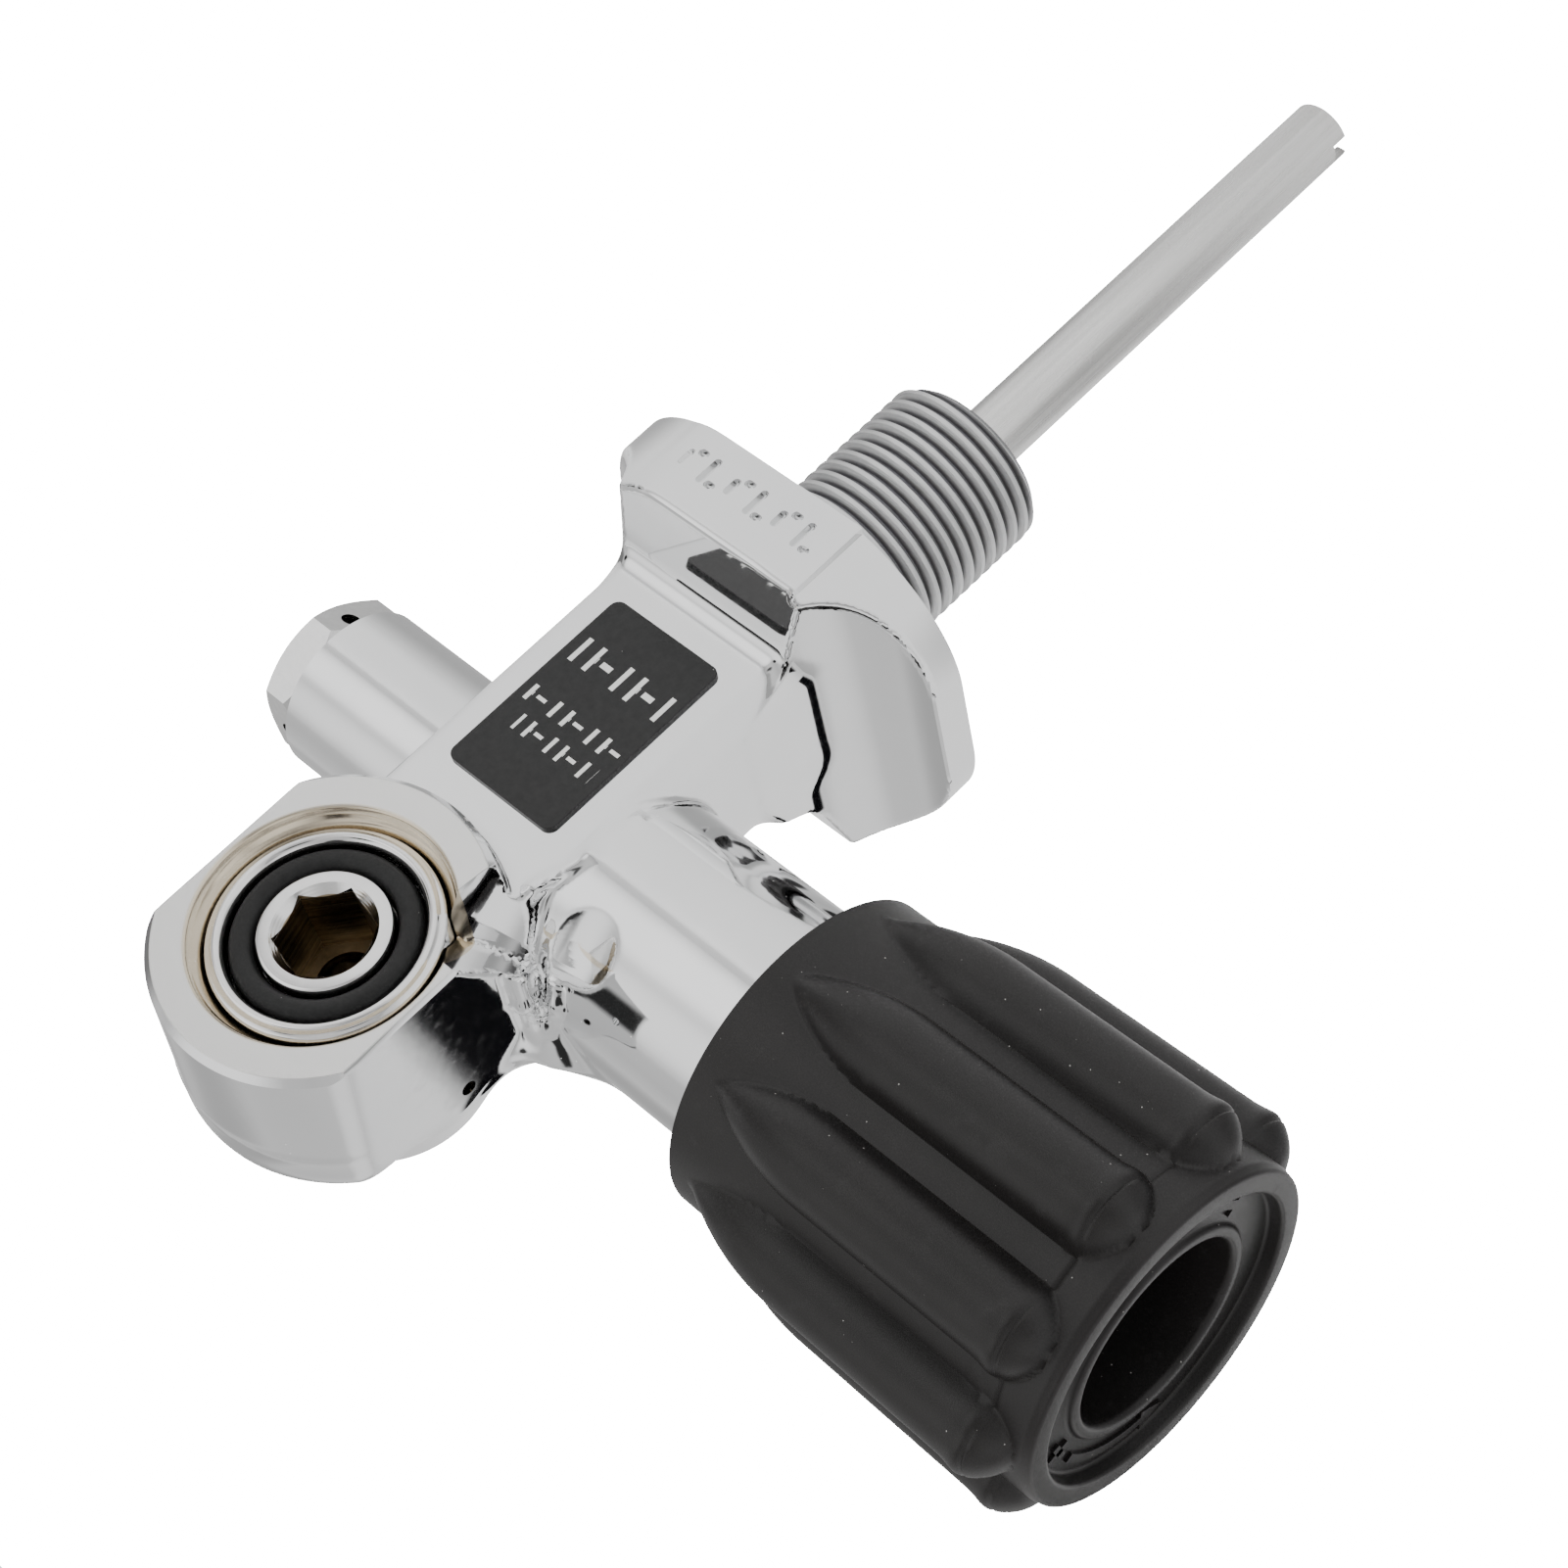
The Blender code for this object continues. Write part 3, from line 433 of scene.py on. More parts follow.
def surface(distance, low, high, cell):
    """Vertices and quads on the zero surface of a distance, one vertex in each crossed cell."""
    axes = [np.arange(low[i], high[i] + cell, cell) for i in range(3)]
    values = np.concatenate([
        distance(*np.meshgrid(axes[0][i:i + 12], axes[1], axes[2], indexing="ij"))
        for i in range(0, len(axes[0]), 12)])
    inside = values < 0
    shape = np.array(inside.shape) - 1

    def corner(i, j, k):
        return (slice(i, i + shape[0]), slice(j, j + shape[1]), slice(k, k + shape[2]))

    corners = [(i, j, k) for i in (0, 1) for j in (0, 1) for k in (0, 1)]
    count = sum(inside[corner(*c)].astype(np.int8) for c in corners)
    crossed = (count > 0) & (count < 8)
    cells = np.argwhere(crossed)
    index = np.full(shape, -1)
    index[crossed] = np.arange(len(cells))
    total, hits = np.zeros((len(cells), 3)), np.zeros(len(cells))
    for a in corners:
        for axis in range(3):
            if a[axis]:
                continue
            b = tuple(a[i] + (i == axis) for i in range(3))
            va = values[tuple((cells + a).T)]
            vb = values[tuple((cells + b).T)]
            on = (va < 0) != (vb < 0)
            share = np.where(on, va / np.where(on, va - vb, 1), 0)
            point = cells + a + share[:, None] * np.eye(3)[axis]
            total += np.where(on[:, None], point, 0)
            hits += on
    points = np.array(low) + total / hits[:, None] * cell
    quads = []
    for axis in range(3):
        first, second = (axis + 1) % 3, (axis + 2) % 3
        step = np.eye(3, dtype=int)
        lower = np.moveaxis(inside, axis, 0)[:-1]
        upper = np.moveaxis(inside, axis, 0)[1:]
        change = np.moveaxis(lower != upper, 0, axis)
        edges = np.argwhere(change)
        keep = (edges[:, first] > 0) & (edges[:, second] > 0)
        keep &= (edges[:, first] < shape[first]) & (edges[:, second] < shape[second])
        edges = edges[keep]
        ring = [edges - step[first] - step[second], edges - step[second], edges, edges - step[first]]
        quad = np.stack([index[tuple(r.T)] for r in ring], 1)
        outward = inside[tuple(edges.T)]
        quad[~outward] = quad[~outward][:, ::-1]
        quads.append(quad)
    for _ in range(4):
        value = distance(*points.T)
        slope = np.stack([
            (distance(*(points + np.eye(3)[i] * 0.02).T) - distance(*(points - np.eye(3)[i] * 0.02).T))
            / 0.04 for i in range(3)], 1)
        length = np.maximum((slope ** 2).sum(1), 0.2)
        points -= np.clip(value / length, -0.2, 0.2)[:, None] * slope
    return points, np.concatenate(quads)


def piece(name, points, faces, material=None, angle=None):
    """A named mesh object from points in metres."""
    mesh = bpy.data.meshes.new(name)
    mesh.from_pydata([tuple(p) for p in points], [], [tuple(f) for f in faces])
    mesh.shade_smooth()
    if angle:
        mesh.set_sharp_from_angle(angle=math.radians(angle))
    if material:
        mesh.materials.append(material)
    made = bpy.data.objects.new(name, mesh)
    bpy.context.scene.collection.objects.link(made)
    return made


def fillet(points, radius, steps=4, closed=False):
    """Rounds the inner corners of an outline of (radius, height) points."""
    result = []
    count = len(points)
    for i, point in enumerate(points):
        here = np.array(point, float)
        if not closed and i in (0, count - 1):
            result.append(tuple(here))
            continue
        before = np.array(points[i - 1], float) - here
        after = np.array(points[(i + 1) % count], float) - here
        room = min(np.linalg.norm(before), np.linalg.norm(after)) * 0.45
        back = min(radius, room)
        a = here + before / np.linalg.norm(before) * back
        b = here + after / np.linalg.norm(after) * back
        for step in range(steps + 1):
            t = step / steps
            result.append(tuple((1 - t) ** 2 * a + 2 * t * (1 - t) * here + t * t * b))
    return result


def lathe(name, profile, place, material=None, closed=False, sides=96):
    """Turns (radius, height) points in millimetres about the local Z of a placing matrix."""
    points, rings = [], []
    for radius, height in profile:
        if radius < 1e-4:
            rings.append([len(points)] * sides)
            points.append((0, 0, height))
            continue
        rings.append(list(range(len(points), len(points) + sides)))
        for i in range(sides):
            turn = math.tau * i / sides
            points.append((radius * math.cos(turn), radius * math.sin(turn), height))
    pairs = list(zip(rings, rings[1:]))
    if closed:
        pairs.append((rings[-1], rings[0]))
    faces = []
    for upper, lower in pairs:
        for i in range(sides):
            j = (i + 1) % sides
            face = list(dict.fromkeys((upper[i], lower[i], lower[j], upper[j])))
            if len(face) > 2:
                faces.append(face)
    return piece(name, [place @ (Vector(p) * MM) for p in points], faces, material, angle=32)


def facing(x, y, z, turn, axis):
    """A placing matrix: a point in millimetres, and a turn in degrees about a global axis."""
    return Matrix.Translation(Vector((x, y, z)) * MM) @ Matrix.Rotation(math.radians(turn), 4, axis)


outlet_place = facing(0, 0, OUTLET_Z, 90, "X")
wheel_place = facing(0, 0, WHEEL_Z, -90, "Y")
safety_place = facing(0, 0, SAFETY_Z, 90, "Y")
neck_place = facing(0, 0, 0, 180, "X")


def block(name, low, high, turn=0.0, axis="Z"):
    """A box between two corners in millimetres, turned about its centre."""
    work = bmesh.new()
    bmesh.ops.create_cube(work, size=1)
    size = Vector(high) - Vector(low)
    middle = (Vector(high) + Vector(low)) / 2
    bmesh.ops.scale(work, verts=work.verts, vec=size * MM)
    matrix = Matrix.Translation(middle * MM) @ Matrix.Rotation(math.radians(turn), 4, axis)
    bmesh.ops.transform(work, verts=work.verts, matrix=matrix)
    mesh = bpy.data.meshes.new(name)
    work.to_mesh(mesh)
    work.free()
    made = bpy.data.objects.new(name, mesh)
    bpy.context.scene.collection.objects.link(made)
    return made


def drill(name, start, end, radius, sides=40):
    """A round cutter between two points in millimetres."""
    start, end = Vector(start), Vector(end)
    place = Matrix.Translation(start * MM) @ (end - start).to_track_quat("Z", "Y").to_matrix().to_4x4()
    length = (end - start).length
    return lathe(name, [(0, length), (radius, length), (radius, 0), (0, 0)], place, sides=sides)


def machine(target, cutters, operation="DIFFERENCE", angle=30):
    """Cuts or joins helpers and removes them, leaving a plain mesh."""
    for cutter in cutters:
        step = target.modifiers.new(cutter.name, "BOOLEAN")
        step.operation = operation
        step.object = cutter
        step.solver = "MANIFOLD"
    bpy.context.view_layer.update()
    solid = target.evaluated_get(bpy.context.evaluated_depsgraph_get())
    mesh = bpy.data.meshes.new_from_object(solid)
    target.modifiers.clear()
    target.data = mesh
    for cutter in cutters:
        bpy.data.objects.remove(cutter)
    mesh.shade_smooth()
    mesh.set_sharp_from_angle(angle=math.radians(angle))
    return target


def ball(radius, height):
    """The profile of a ball, from its top down."""
    turns = [math.radians(15 * i) for i in reversed(range(13))]
    return [(radius * math.sin(turn), height - radius * math.cos(turn)) for turn in turns]


points, quads = surface(body_distance, (-36.9, -20.9, -1.5), (28.1, 21.0, 73.6), GRID_CELL)
body = piece("body_forging", points * MM, quads)
machine(body, [
    block("underside_plane", (-30, -30, -5), (30, 30, 0)),
    block("face_plane", (-25, -30, 30), (25, -FACE_OUT, 80)),
    block("rear_plane", (-15, DRUM_BACK, 40), (15, 20, 80)),
    block("bonnet_end_plane", (-45, -20, 15), (-BONNET_END, 20, 55)),
    block("safety_end_plane", (SAFETY_END, -20, 15), (35, 20, 55)),
    lathe("face_chamfer", [(20, 17), (20, 14.9), (15.55, 14.9), (14.75, 15.7), (14.0, 17)],
          outlet_place, closed=True, sides=160),
    block("left_edge_chamfer", (-14.5, -17.5, 30), (-12.1, -15.1, 80), 45),
    block("right_edge_chamfer", (12.1, -17.5, 30), (14.5, -15.1, 80), 45)])
machine(body, [
    lathe("recess", fillet([
        (0, 17.5), (12.25, 17.5), (11.95, 15.7), (11.7, 15.5), (11.45, 14.9), (10.85, 14.0),
        (10.64, 13.4), (10.64, -0.6), (3.2, -0.6), (3.2, -5.0), (0, -5.0)], 0.12, 3),
        outlet_place, sides=160),
    lathe("rear_dimple", ball(6.0, DRUM_BACK + 4.0), facing(0, 0, OUTLET_Z, -90, "X"), sides=64),
    lathe("chamber", [
        (0, 37), (10.8, 37), (10.8, 33.9), (8.6, 33.9), (8.6, 16), (5.3, 16), (5.3, -4.2),
        (3.3, -4.2), (3.3, -3.5), (2.0, -3.5), (2.0, -8.6), (0, -8.6)], wheel_place, sides=64),
    lathe("safety_bore", [(0, 28), (6, 28), (6, 16), (0, 16)], safety_place, sides=64),
    lathe("feed_bore", [
        (0, 1), (9.2, 1), (9.2, -2.0), (2.5, -2.0), (2.5, -34.66), (0, -34.66)], neck_place,
        sides=64),
    lathe("seat_undercut", [(0, 1), (10, 1), (10, -0.4), (0, -0.4)], neck_place, sides=64),
    drill("outlet_passage", (7.4, 2.0, WHEEL_Z), (2.0, 3.6, OUTLET_Z), 1.5),
    drill("safety_port", (17.5, 0, 31.0), (-0.5, 0, 22.0), 1.2),
    drill("vent_hole", (-14, -0.4, 55.4), (-6, -0.4, 55.4), 0.75),
    drill("pin_mark", (-22.3, -7.9, 45.8), (-20.9, -6.2, 43.6), 0.35, 20)])


def punch(name, centre, length, turn):
    """One punched stroke in the front of the flange: a shallow round-ended slot."""
    work = bmesh.new()
    outline = []
    for side in (1, -1):
        for i in range(7):
            a = math.radians(-90 + 30 * i + (0 if side > 0 else 180))
            outline.append((side * length / 2 + 0.34 * math.cos(a), 0.34 * math.sin(a)))
    rings = []
    for depth, grow in ((21.5, 1.6), (20.12, 1.15), (19.62, 0.45)):
        ring = []
        for u, w in outline:
            w *= grow
            x = centre[0] + u * math.cos(turn) - w * math.sin(turn)
            z = centre[1] + u * math.sin(turn) + w * math.cos(turn)
            ring.append(work.verts.new(Vector((x, -depth, z)) * MM))
        rings.append(ring)
    for upper, lower in zip(rings, rings[1:]):
        for i in range(len(upper)):
            j = (i + 1) % len(upper)
            work.faces.new((upper[i], upper[j], lower[j], lower[i]))
    work.faces.new(rings[0][::-1])
    work.faces.new(rings[-1])
    bmesh.ops.recalc_face_normals(work, faces=work.faces)
    mesh = bpy.data.meshes.new(name)
    work.to_mesh(mesh)
    work.free()
    made = bpy.data.objects.new(name, mesh)
    bpy.context.scene.collection.objects.link(made)
    return made


# A row of plain punched strokes where a rating would be stamped.
stamps = []
for i in range(6):
    centre = 7.6 - 2.9 * i
    stamps.append(punch("stroke", (centre, 3.75), 2.4 if i % 2 else 1.3, math.pi / 2))
    stamps.append(punch("stroke", (centre - 1.15, 2.6 + 2.3 * (i % 2)), 0.5, 0.0))
machine(body, stamps)


def chrome_paint():
    """Bright plate, with satin turning on the outlet face, bare brass in the recess and painted shade,
    near black, deep in the bore.
    """
    paint = Paint("bright_chrome")
    x, y, z = paint.parts()
    out_radius = paint.length(x, z - OUTLET_Z)
    face = (y < -15.62) * (z > 36.0)
    recess = (out_radius < 11.9) * (y < -0.2) * (z > 40.0) * (1 - face)
    rim_tint = out_radius.step(12.1, 11.8) * (y < -15.0) * (z > 40.0)
    patches = paint.noise(0.12, 3)
    smear = paint.noise(0.9, 4, 0.6)
    plate = patches.mix((0.80, 0.805, 0.81), (0.87, 0.87, 0.87))
    colour = face.mix(plate, (0.82, 0.815, 0.80))
    colour = rim_tint.mix(colour, (0.80, 0.73, 0.60))
    colour = recess.mix(colour, (0.66, 0.58, 0.45))
    # Painted shade: the deep bore behind the insert is painted near black.
    deep_bore_painted_shade = (out_radius < 9.0) * (y < 5.6) * (z > 40.0)
    colour = deep_bore_painted_shade.mix(colour, (0.05, 0.036, 0.02))
    dust = paint.specks(0.9, 0.20)
    colour = dust.mix(colour, (0.9, 0.9, 0.88))
    rough = 0.045 + smear.step(0.45, 0.8) * 0.05 + face * 0.27 + recess * 0.10 + dust * 0.3
    turning = paint.math("SINE", out_radius * 42.0) * face * 0.25
    peel = paint.noise(0.22, 2) * 1.6 + paint.noise(1.1, 2) * 0.06
    return paint.finish(colour, rough, 1 - dust, bump=turning + peel, depth=0.004)


body.data.materials.clear()
body.data.materials.append(chrome_paint())
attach(body, "valve")
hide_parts("valve_body")

# Neck thread. M18 x 1.5, cut on the forging's neck below the O-ring groove and plated
# with the body, so its flanks are satin where the plate is thin.
THREAD_PITCH = 1.5
THREAD_TOP, THREAD_END = 3.0, 22.2


def thread_points():
    """One helical sheet of points: each column is lowered by its share of a turn."""
    shape = [8.12, 8.12, 8.35, 8.72, 8.98, 9.0, 9.0, 8.98, 8.72, 8.35]
    sides, steps = 128, len(shape)
    turns = round((THREAD_END - THREAD_TOP) / THREAD_PITCH) + 3
    points = []
    for row in range(turns * steps + 1):
        for column in range(sides + 1):
            share = column / sides
            depth = THREAD_TOP + (row / steps + share - 1.6) * THREAD_PITCH
            held = min(max(depth, THREAD_TOP), THREAD_END)
            radius = shape[row % steps]
            radius = min(radius, 7.7 + (held - THREAD_TOP) * 1.2, 7.9 + (THREAD_END - held) * 1.1)
            turn = math.tau * share
            points.append((radius * math.cos(turn), radius * math.sin(turn), -held))
    columns = sides + 1
    corners = (0, 1, columns + 1, columns)
    faces = [tuple(r * columns + c + corner for corner in corners)
             for r in range(turns * steps) for c in range(sides)]
    return points, faces


def thread_paint():
    paint = Paint("satin_plated_thread")
    x, y, z = paint.parts()
    # Painted shade: the roots between the crests are painted dark, and the same mask roughens them a
    # little.
    root_painted_shade = paint.length(x, y).step(8.75, 8.2)
    grime = paint.noise(0.7, 3)
    colour = root_painted_shade.mix(grime.mix((0.60, 0.605, 0.61), (0.76, 0.76, 0.76)), (0.20, 0.20, 0.21))
    rough = 0.24 + grime * 0.14 + root_painted_shade * 0.1
    cut = paint.math("SINE", z * 60.0) * 0.4 + paint.noise(2.5, 3) * 0.5
    return paint.finish(colour, rough, 1.0, bump=cut, depth=0.01)


points, faces = thread_points()
neck = piece("neck_thread", [Vector(p) * MM for p in points], faces, thread_paint())
work = bmesh.new()
work.from_mesh(neck.data)
bmesh.ops.remove_doubles(work, verts=work.verts, dist=0.004 * MM)
bmesh.ops.dissolve_degenerate(work, edges=work.edges, dist=0.002 * MM)
# Each end goes on as rings of (radius, height): the groove above, the bored end face below.
for height, rings in ((-THREAD_TOP, ((7.0, 0), (6.2, 0))),
                      (-THREAD_END, ((3.25, -THREAD_END), (3.25, 10 - THREAD_END)))):
    rim = [e for e in work.edges if e.is_boundary and abs(e.verts[0].co.z - height * MM) < 1e-6]
    for radius, level in rings:
        made = bmesh.ops.extrude_edge_only(work, edges=rim)["geom"]
        fresh = [v for v in made if isinstance(v, bmesh.types.BMVert)]
        for vert in fresh:
            vert.co.x, vert.co.y = vert.co.xy.normalized() * radius * MM
            vert.co.z = level * MM
        rim = [e for e in made if isinstance(e, bmesh.types.BMEdge) and e.is_boundary
               and all(v in fresh for v in e.verts)]
bmesh.ops.recalc_face_normals(work, faces=work.faces)
work.to_mesh(neck.data)
work.free()
neck.data.shade_smooth()
neck.data.set_sharp_from_angle(angle=math.radians(38))
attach(neck, "valve")

# Seals. Moulded nitrile O-rings, matt black, squeezed into their
# grooves at the neck, on the outlet face and behind the insert.


def seal_paint():
    paint = Paint("nitrile_seal")
    bloom = paint.noise(1.3, 4, 0.6)
    dust = paint.specks(1.4, 0.12)
    colour = dust.mix(bloom.ramp((0.3, 0.008), (0.75, 0.016)), (0.25, 0.25, 0.25))
    return paint.finish(colour, 0.38 + bloom * 0.22, bump=paint.noise(6.0, 3), depth=0.012,
                        Specular_IOR_Level=0.28)


seal_black = seal_paint()


def o_ring(name, place, height, major, minor, body_name):
    """A seal lying round a placing matrix's local Z; its name ends in the node's name."""
    steps = 28
    turns = [math.tau * i / steps for i in reversed(range(steps))]
    section = [(major + minor * math.cos(turn), height + minor * math.sin(turn)) for turn in turns]
    ring = lathe(name, section, place, seal_black, closed=True, sides=128)
    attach(ring, body_name)
    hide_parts(name.removeprefix("seal_"))


o_ring("seal_neck_o_ring", neck_place, 1.4, 8.4, 1.1, "valve")
o_ring("seal_outlet_face_o_ring", outlet_place, 13.6, 7.4, 1.1, "insert_seals")
o_ring("seal_insert_rear_o_ring", outlet_place, 0.6, 5.4, 0.9, "insert_seals")

# Dip tube. Drawn tube of plated brass pressed into the neck, with its tip sawn across;
# drawing leaves long soft streaks down it.
TUBE_RADIUS, TUBE_BORE, TUBE_TOP, TUBE_TIP, SAW_DEPTH = 3.2, 2.2, 12.0, 74.2, 1.8


def tube_paint():
    paint = Paint("drawn_tube")
    streak = paint.stretched(1.3, 1.3, 0.03).noise(1.0, 4, 0.6)
    scuff = paint.noise(0.5, 4, 0.6)
    colour = streak.ramp((0.3, (0.66, 0.655, 0.64)), (0.7, (0.84, 0.835, 0.82)))
    rough = 0.20 + streak * 0.16 + scuff.step(0.6, 0.8) * 0.12
    return paint.finish(colour, rough, 1.0, bump=streak, depth=0.03)


tube = lathe("drawn_dip_tube", fillet([
    (TUBE_BORE, TUBE_TOP), (TUBE_BORE, TUBE_TIP), (TUBE_RADIUS, TUBE_TIP), (TUBE_RADIUS, TUBE_TOP)],
    0.15, 3, closed=True), neck_place, closed=True, sides=96)
machine(tube, [block("saw_cut", (-5, -1.05, -TUBE_TIP - 0.8), (5, 1.05, SAW_DEPTH - TUBE_TIP))])
tube.data.materials.clear()
tube.data.materials.append(tube_paint())
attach(tube, "valve")
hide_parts("dip_tube")

# Outlet insert. Turned brass screw that fills the threaded outlet for a clamp fitting: plated
# outside, with a face groove for the O-ring and a broached 8 mm hexagon left as bare brass.


def hexagon(name, across, low, high, turn, place):
    """A hexagonal bar along the local Z of a placing matrix, in millimetres."""
    radius = across / math.sqrt(3)
    points = []
    for height in (low, high):
        for i in range(6):
            a = math.radians(turn + 60 * i)
            points.append(place @ (Vector((radius * math.cos(a), radius * math.sin(a), height)) * MM))
    faces = [(5, 4, 3, 2, 1, 0), (6, 7, 8, 9, 10, 11)]
    faces += [(i, (i + 1) % 6, (i + 1) % 6 + 6, i + 6) for i in range(6)]
    return piece(name, points, faces)


def insert_paint():
    paint = Paint("plated_insert")
    x, y, z = paint.parts()
    radius = paint.length(x, z - OUTLET_Z)
    socket = (radius < 4.75) * (y < -5.0) * (y > -13.75)
    grime = paint.noise(0.8, 4, 0.6)
    plate = grime.mix((0.74, 0.735, 0.73), (0.87, 0.865, 0.86))
    wall = paint.stretched(0.15, 2.2, 0.15).noise(1.2, 4, 0.6)
    brass = wall.ramp((0.25, (0.16, 0.125, 0.075)), (0.5, (0.26, 0.205, 0.13)),
                      (0.78, (0.44, 0.37, 0.26)))
    colour = socket.mix(plate, brass)
    rough = 0.06 + grime * 0.07 + socket * 0.24
    turning = paint.math("SINE", radius * 30.0) * 0.12 + wall * socket * 2.0
    return paint.finish(colour, rough, 1.0, bump=turning, depth=0.012)


insert = lathe("turned_insert", fillet([
    (3.0, 14.6), (6.0, 14.6), (6.0, 12.2), (8.8, 12.2), (8.8, 14.35), (9.2, 14.85),
    (9.7, 14.85), (9.95, 14.4), (10.5, 14.2), (10.5, 0.4),
    (6.6, 0.4), (6.6, 1.9), (4.2, 1.9), (4.2, 0.4), (3.0, 0.4)], 0.38, 4, closed=True),
    outlet_place, closed=True, sides=160)
machine(insert, [
    hexagon("broach", 8.0, 6.0, 16.0, -12.0, outlet_place),
    lathe("socket_mouth", [(0, 15.6), (5.6, 15.6), (3.9, 13.5), (0, 13.5)], outlet_place)], angle=28)
insert.data.materials.clear()
insert.data.materials.append(insert_paint())
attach(insert, "insert")
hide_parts("outlet_insert")

# Safety plug. A plated hexagonal screw with a through bore and three cross vents, which clamps
# a thin copper burst disc on a soft copper washer at the bottom of the boss.
PLUG_ACROSS, PLUG_START, PLUG_END, PLUG_TURN = 13.9, 27.5, 31.6, -86.5
VENT_X, VENT_RADIUS, VENT_TURNS = 28.9, 0.9, (-26.5, 93.5, 213.5)


def plug_paint():
    paint = Paint("plated_plug")
    x, y, z = paint.parts()
    wear = paint.noise(0.9, 4, 0.6)
    end = x > 31.3
    colour = wear.mix((0.70, 0.70, 0.695), (0.87, 0.865, 0.86))
    rough = 0.07 + wear.step(0.45, 0.8) * 0.14 + end * 0.12
    turning = paint.math("SINE", paint.length(y, z - SAFETY_Z) * 36.0) * end
    return paint.finish(colour, rough, 1.0, bump=turning + paint.noise(1.5, 3) * 0.8, depth=0.01)


plug = hexagon("hexagonal_plug", PLUG_ACROSS, PLUG_START, PLUG_END, PLUG_TURN, safety_place)
crown = lathe("crown", [
    (0, PLUG_END), (6.3, PLUG_END), (6.75, 31.45), (8.2, 30.5), (8.2, 28.3), (7.1, PLUG_START),
    (7.1, 26.0), (0, 26.0)], safety_place, sides=128)
machine(plug, [crown], "INTERSECT")
shank = lathe("shank", [(0, 28), (5.7, 28), (5.7, 17.7), (0, 17.7)], safety_place, sides=64)
machine(plug, [shank], "UNION")
vents = []
for turn in VENT_TURNS:
    angle = math.radians(turn)
    out = Vector((0, -math.cos(angle), math.sin(angle)))
    centre = Vector((VENT_X, 0, SAFETY_Z))
    vents.append(drill("vent", centre + out * 9, centre + out * 1, VENT_RADIUS, 32))
bore = lathe("plug_bore", [(0, 29.9), (2.4, 29.9), (2.4, 17), (0, 17)], safety_place, sides=48)
centre_mark = lathe("centre_mark", [(0, 32), (1.3, 32), (0, 30.9)], safety_place, sides=48)
machine(plug, [*vents, bore, centre_mark], angle=25)
plug.data.materials.clear()
plug.data.materials.append(plug_paint())
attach(plug, "valve")
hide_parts("safety_plug")


def metal_paint(name, dark, light, rough, grain=1.2):
    """Machined metal seen only in a gap or a section: mottled, with fine tool marks."""
    paint = Paint(name)
    tarnish = paint.noise(grain, 4, 0.6)
    return paint.finish(tarnish.mix(dark, light), rough + tarnish * 0.16, 1.0,
                        bump=paint.noise(5.0, 3), depth=0.01)


copper = metal_paint("soft_copper", (0.50, 0.20, 0.11), (0.72, 0.36, 0.22), 0.22)
for name in ("safety_washer", "burst_disc"):
    nodes[name].material_slots[0].material = copper

# Bonnet train. Turned brass carrier, stainless steel stem, nylon washers and a plated gland nut: the
# tang of the stem turns the carrier, which screws in until its nylon pad shuts the seat.
brass = metal_paint("turned_brass", (0.50, 0.37, 0.17), (0.72, 0.56, 0.30), 0.16)
steel = metal_paint("stainless_steel", (0.45, 0.45, 0.46), (0.60, 0.60, 0.61), 0.18)
gland_chrome = metal_paint("plated_gland", (0.52, 0.52, 0.52), (0.66, 0.66, 0.66), 0.06)


def nylon_paint():
    paint = Paint("white_nylon")
    cloud = paint.noise(0.6, 3)
    return paint.finish(cloud.mix((0.72, 0.70, 0.64), (0.82, 0.80, 0.75)), 0.36 + cloud * 0.2,
                        bump=paint.noise(4.0, 3), depth=0.01)


def hub_paint():
    paint = Paint("glass_filled_hub")
    cloud = paint.noise(0.9, 4)
    return paint.finish(cloud.mix((0.018, 0.018, 0.019), (0.034, 0.034, 0.035)), 0.32 + cloud * 0.2,
                        bump=paint.noise(7.0, 3), depth=0.015)


nylon = nylon_paint()
hub_black = hub_paint()
for name, finish in (
        ("seat_carrier", brass), ("valve_stem", steel), ("handwheel_nut", steel),
        ("handwheel_washer", steel), ("bonnet_nut", gland_chrome), ("seat_pad", nylon),
        ("stem_thrust_washer", nylon), ("friction_washer", nylon), ("handwheel_hub", hub_black),
        ("stem_inner_o_ring", seal_black), ("stem_outer_o_ring", seal_black),
        ("bonnet_o_ring", seal_black)):
    nodes[name].material_slots[0].material = finish

# Handwheel spring. Stainless wire, four and a half turns, squeezed between the hub's pocket and
# the washer.
SPRING_RADIUS, SPRING_WIRE, SPRING_TURNS = 5.2, 0.55, 4.5


def coil(name, start, end, radius, wire, turns, material):
    around, steps = 14, int(turns * 48)
    points, faces = [], []
    for i in range(steps + 1):
        share = i / steps
        turn = math.tau * turns * share
        out = Vector((math.cos(turn), math.sin(turn), 0))
        centre = out * radius + Vector((0, 0, start + (end - start) * share))
        for j in range(around):
            a = math.tau * j / around
            points.append(wheel_place @ ((centre + out * wire * math.cos(a)
                                          + Vector((0, 0, wire * math.sin(a)))) * MM))
    for i in range(steps):
        for j in range(around):
            k = (j + 1) % around
            faces.append((i * around + j, (i + 1) * around + j, (i + 1) * around + k, i * around + k))
    faces.append(list(range(around)))
    faces.append([steps * around + j for j in reversed(range(around))])
    return piece(name, points, faces, material, angle=50)


spring_low, spring_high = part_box("handwheel_spring")
spring = coil("wound_spring", -spring_high[0] / MM + SPRING_WIRE, -spring_low[0] / MM - SPRING_WIRE,
              SPRING_RADIUS, SPRING_WIRE, SPRING_TURNS, steel)
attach(spring, "stem")
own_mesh(spring)
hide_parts("handwheel_spring")

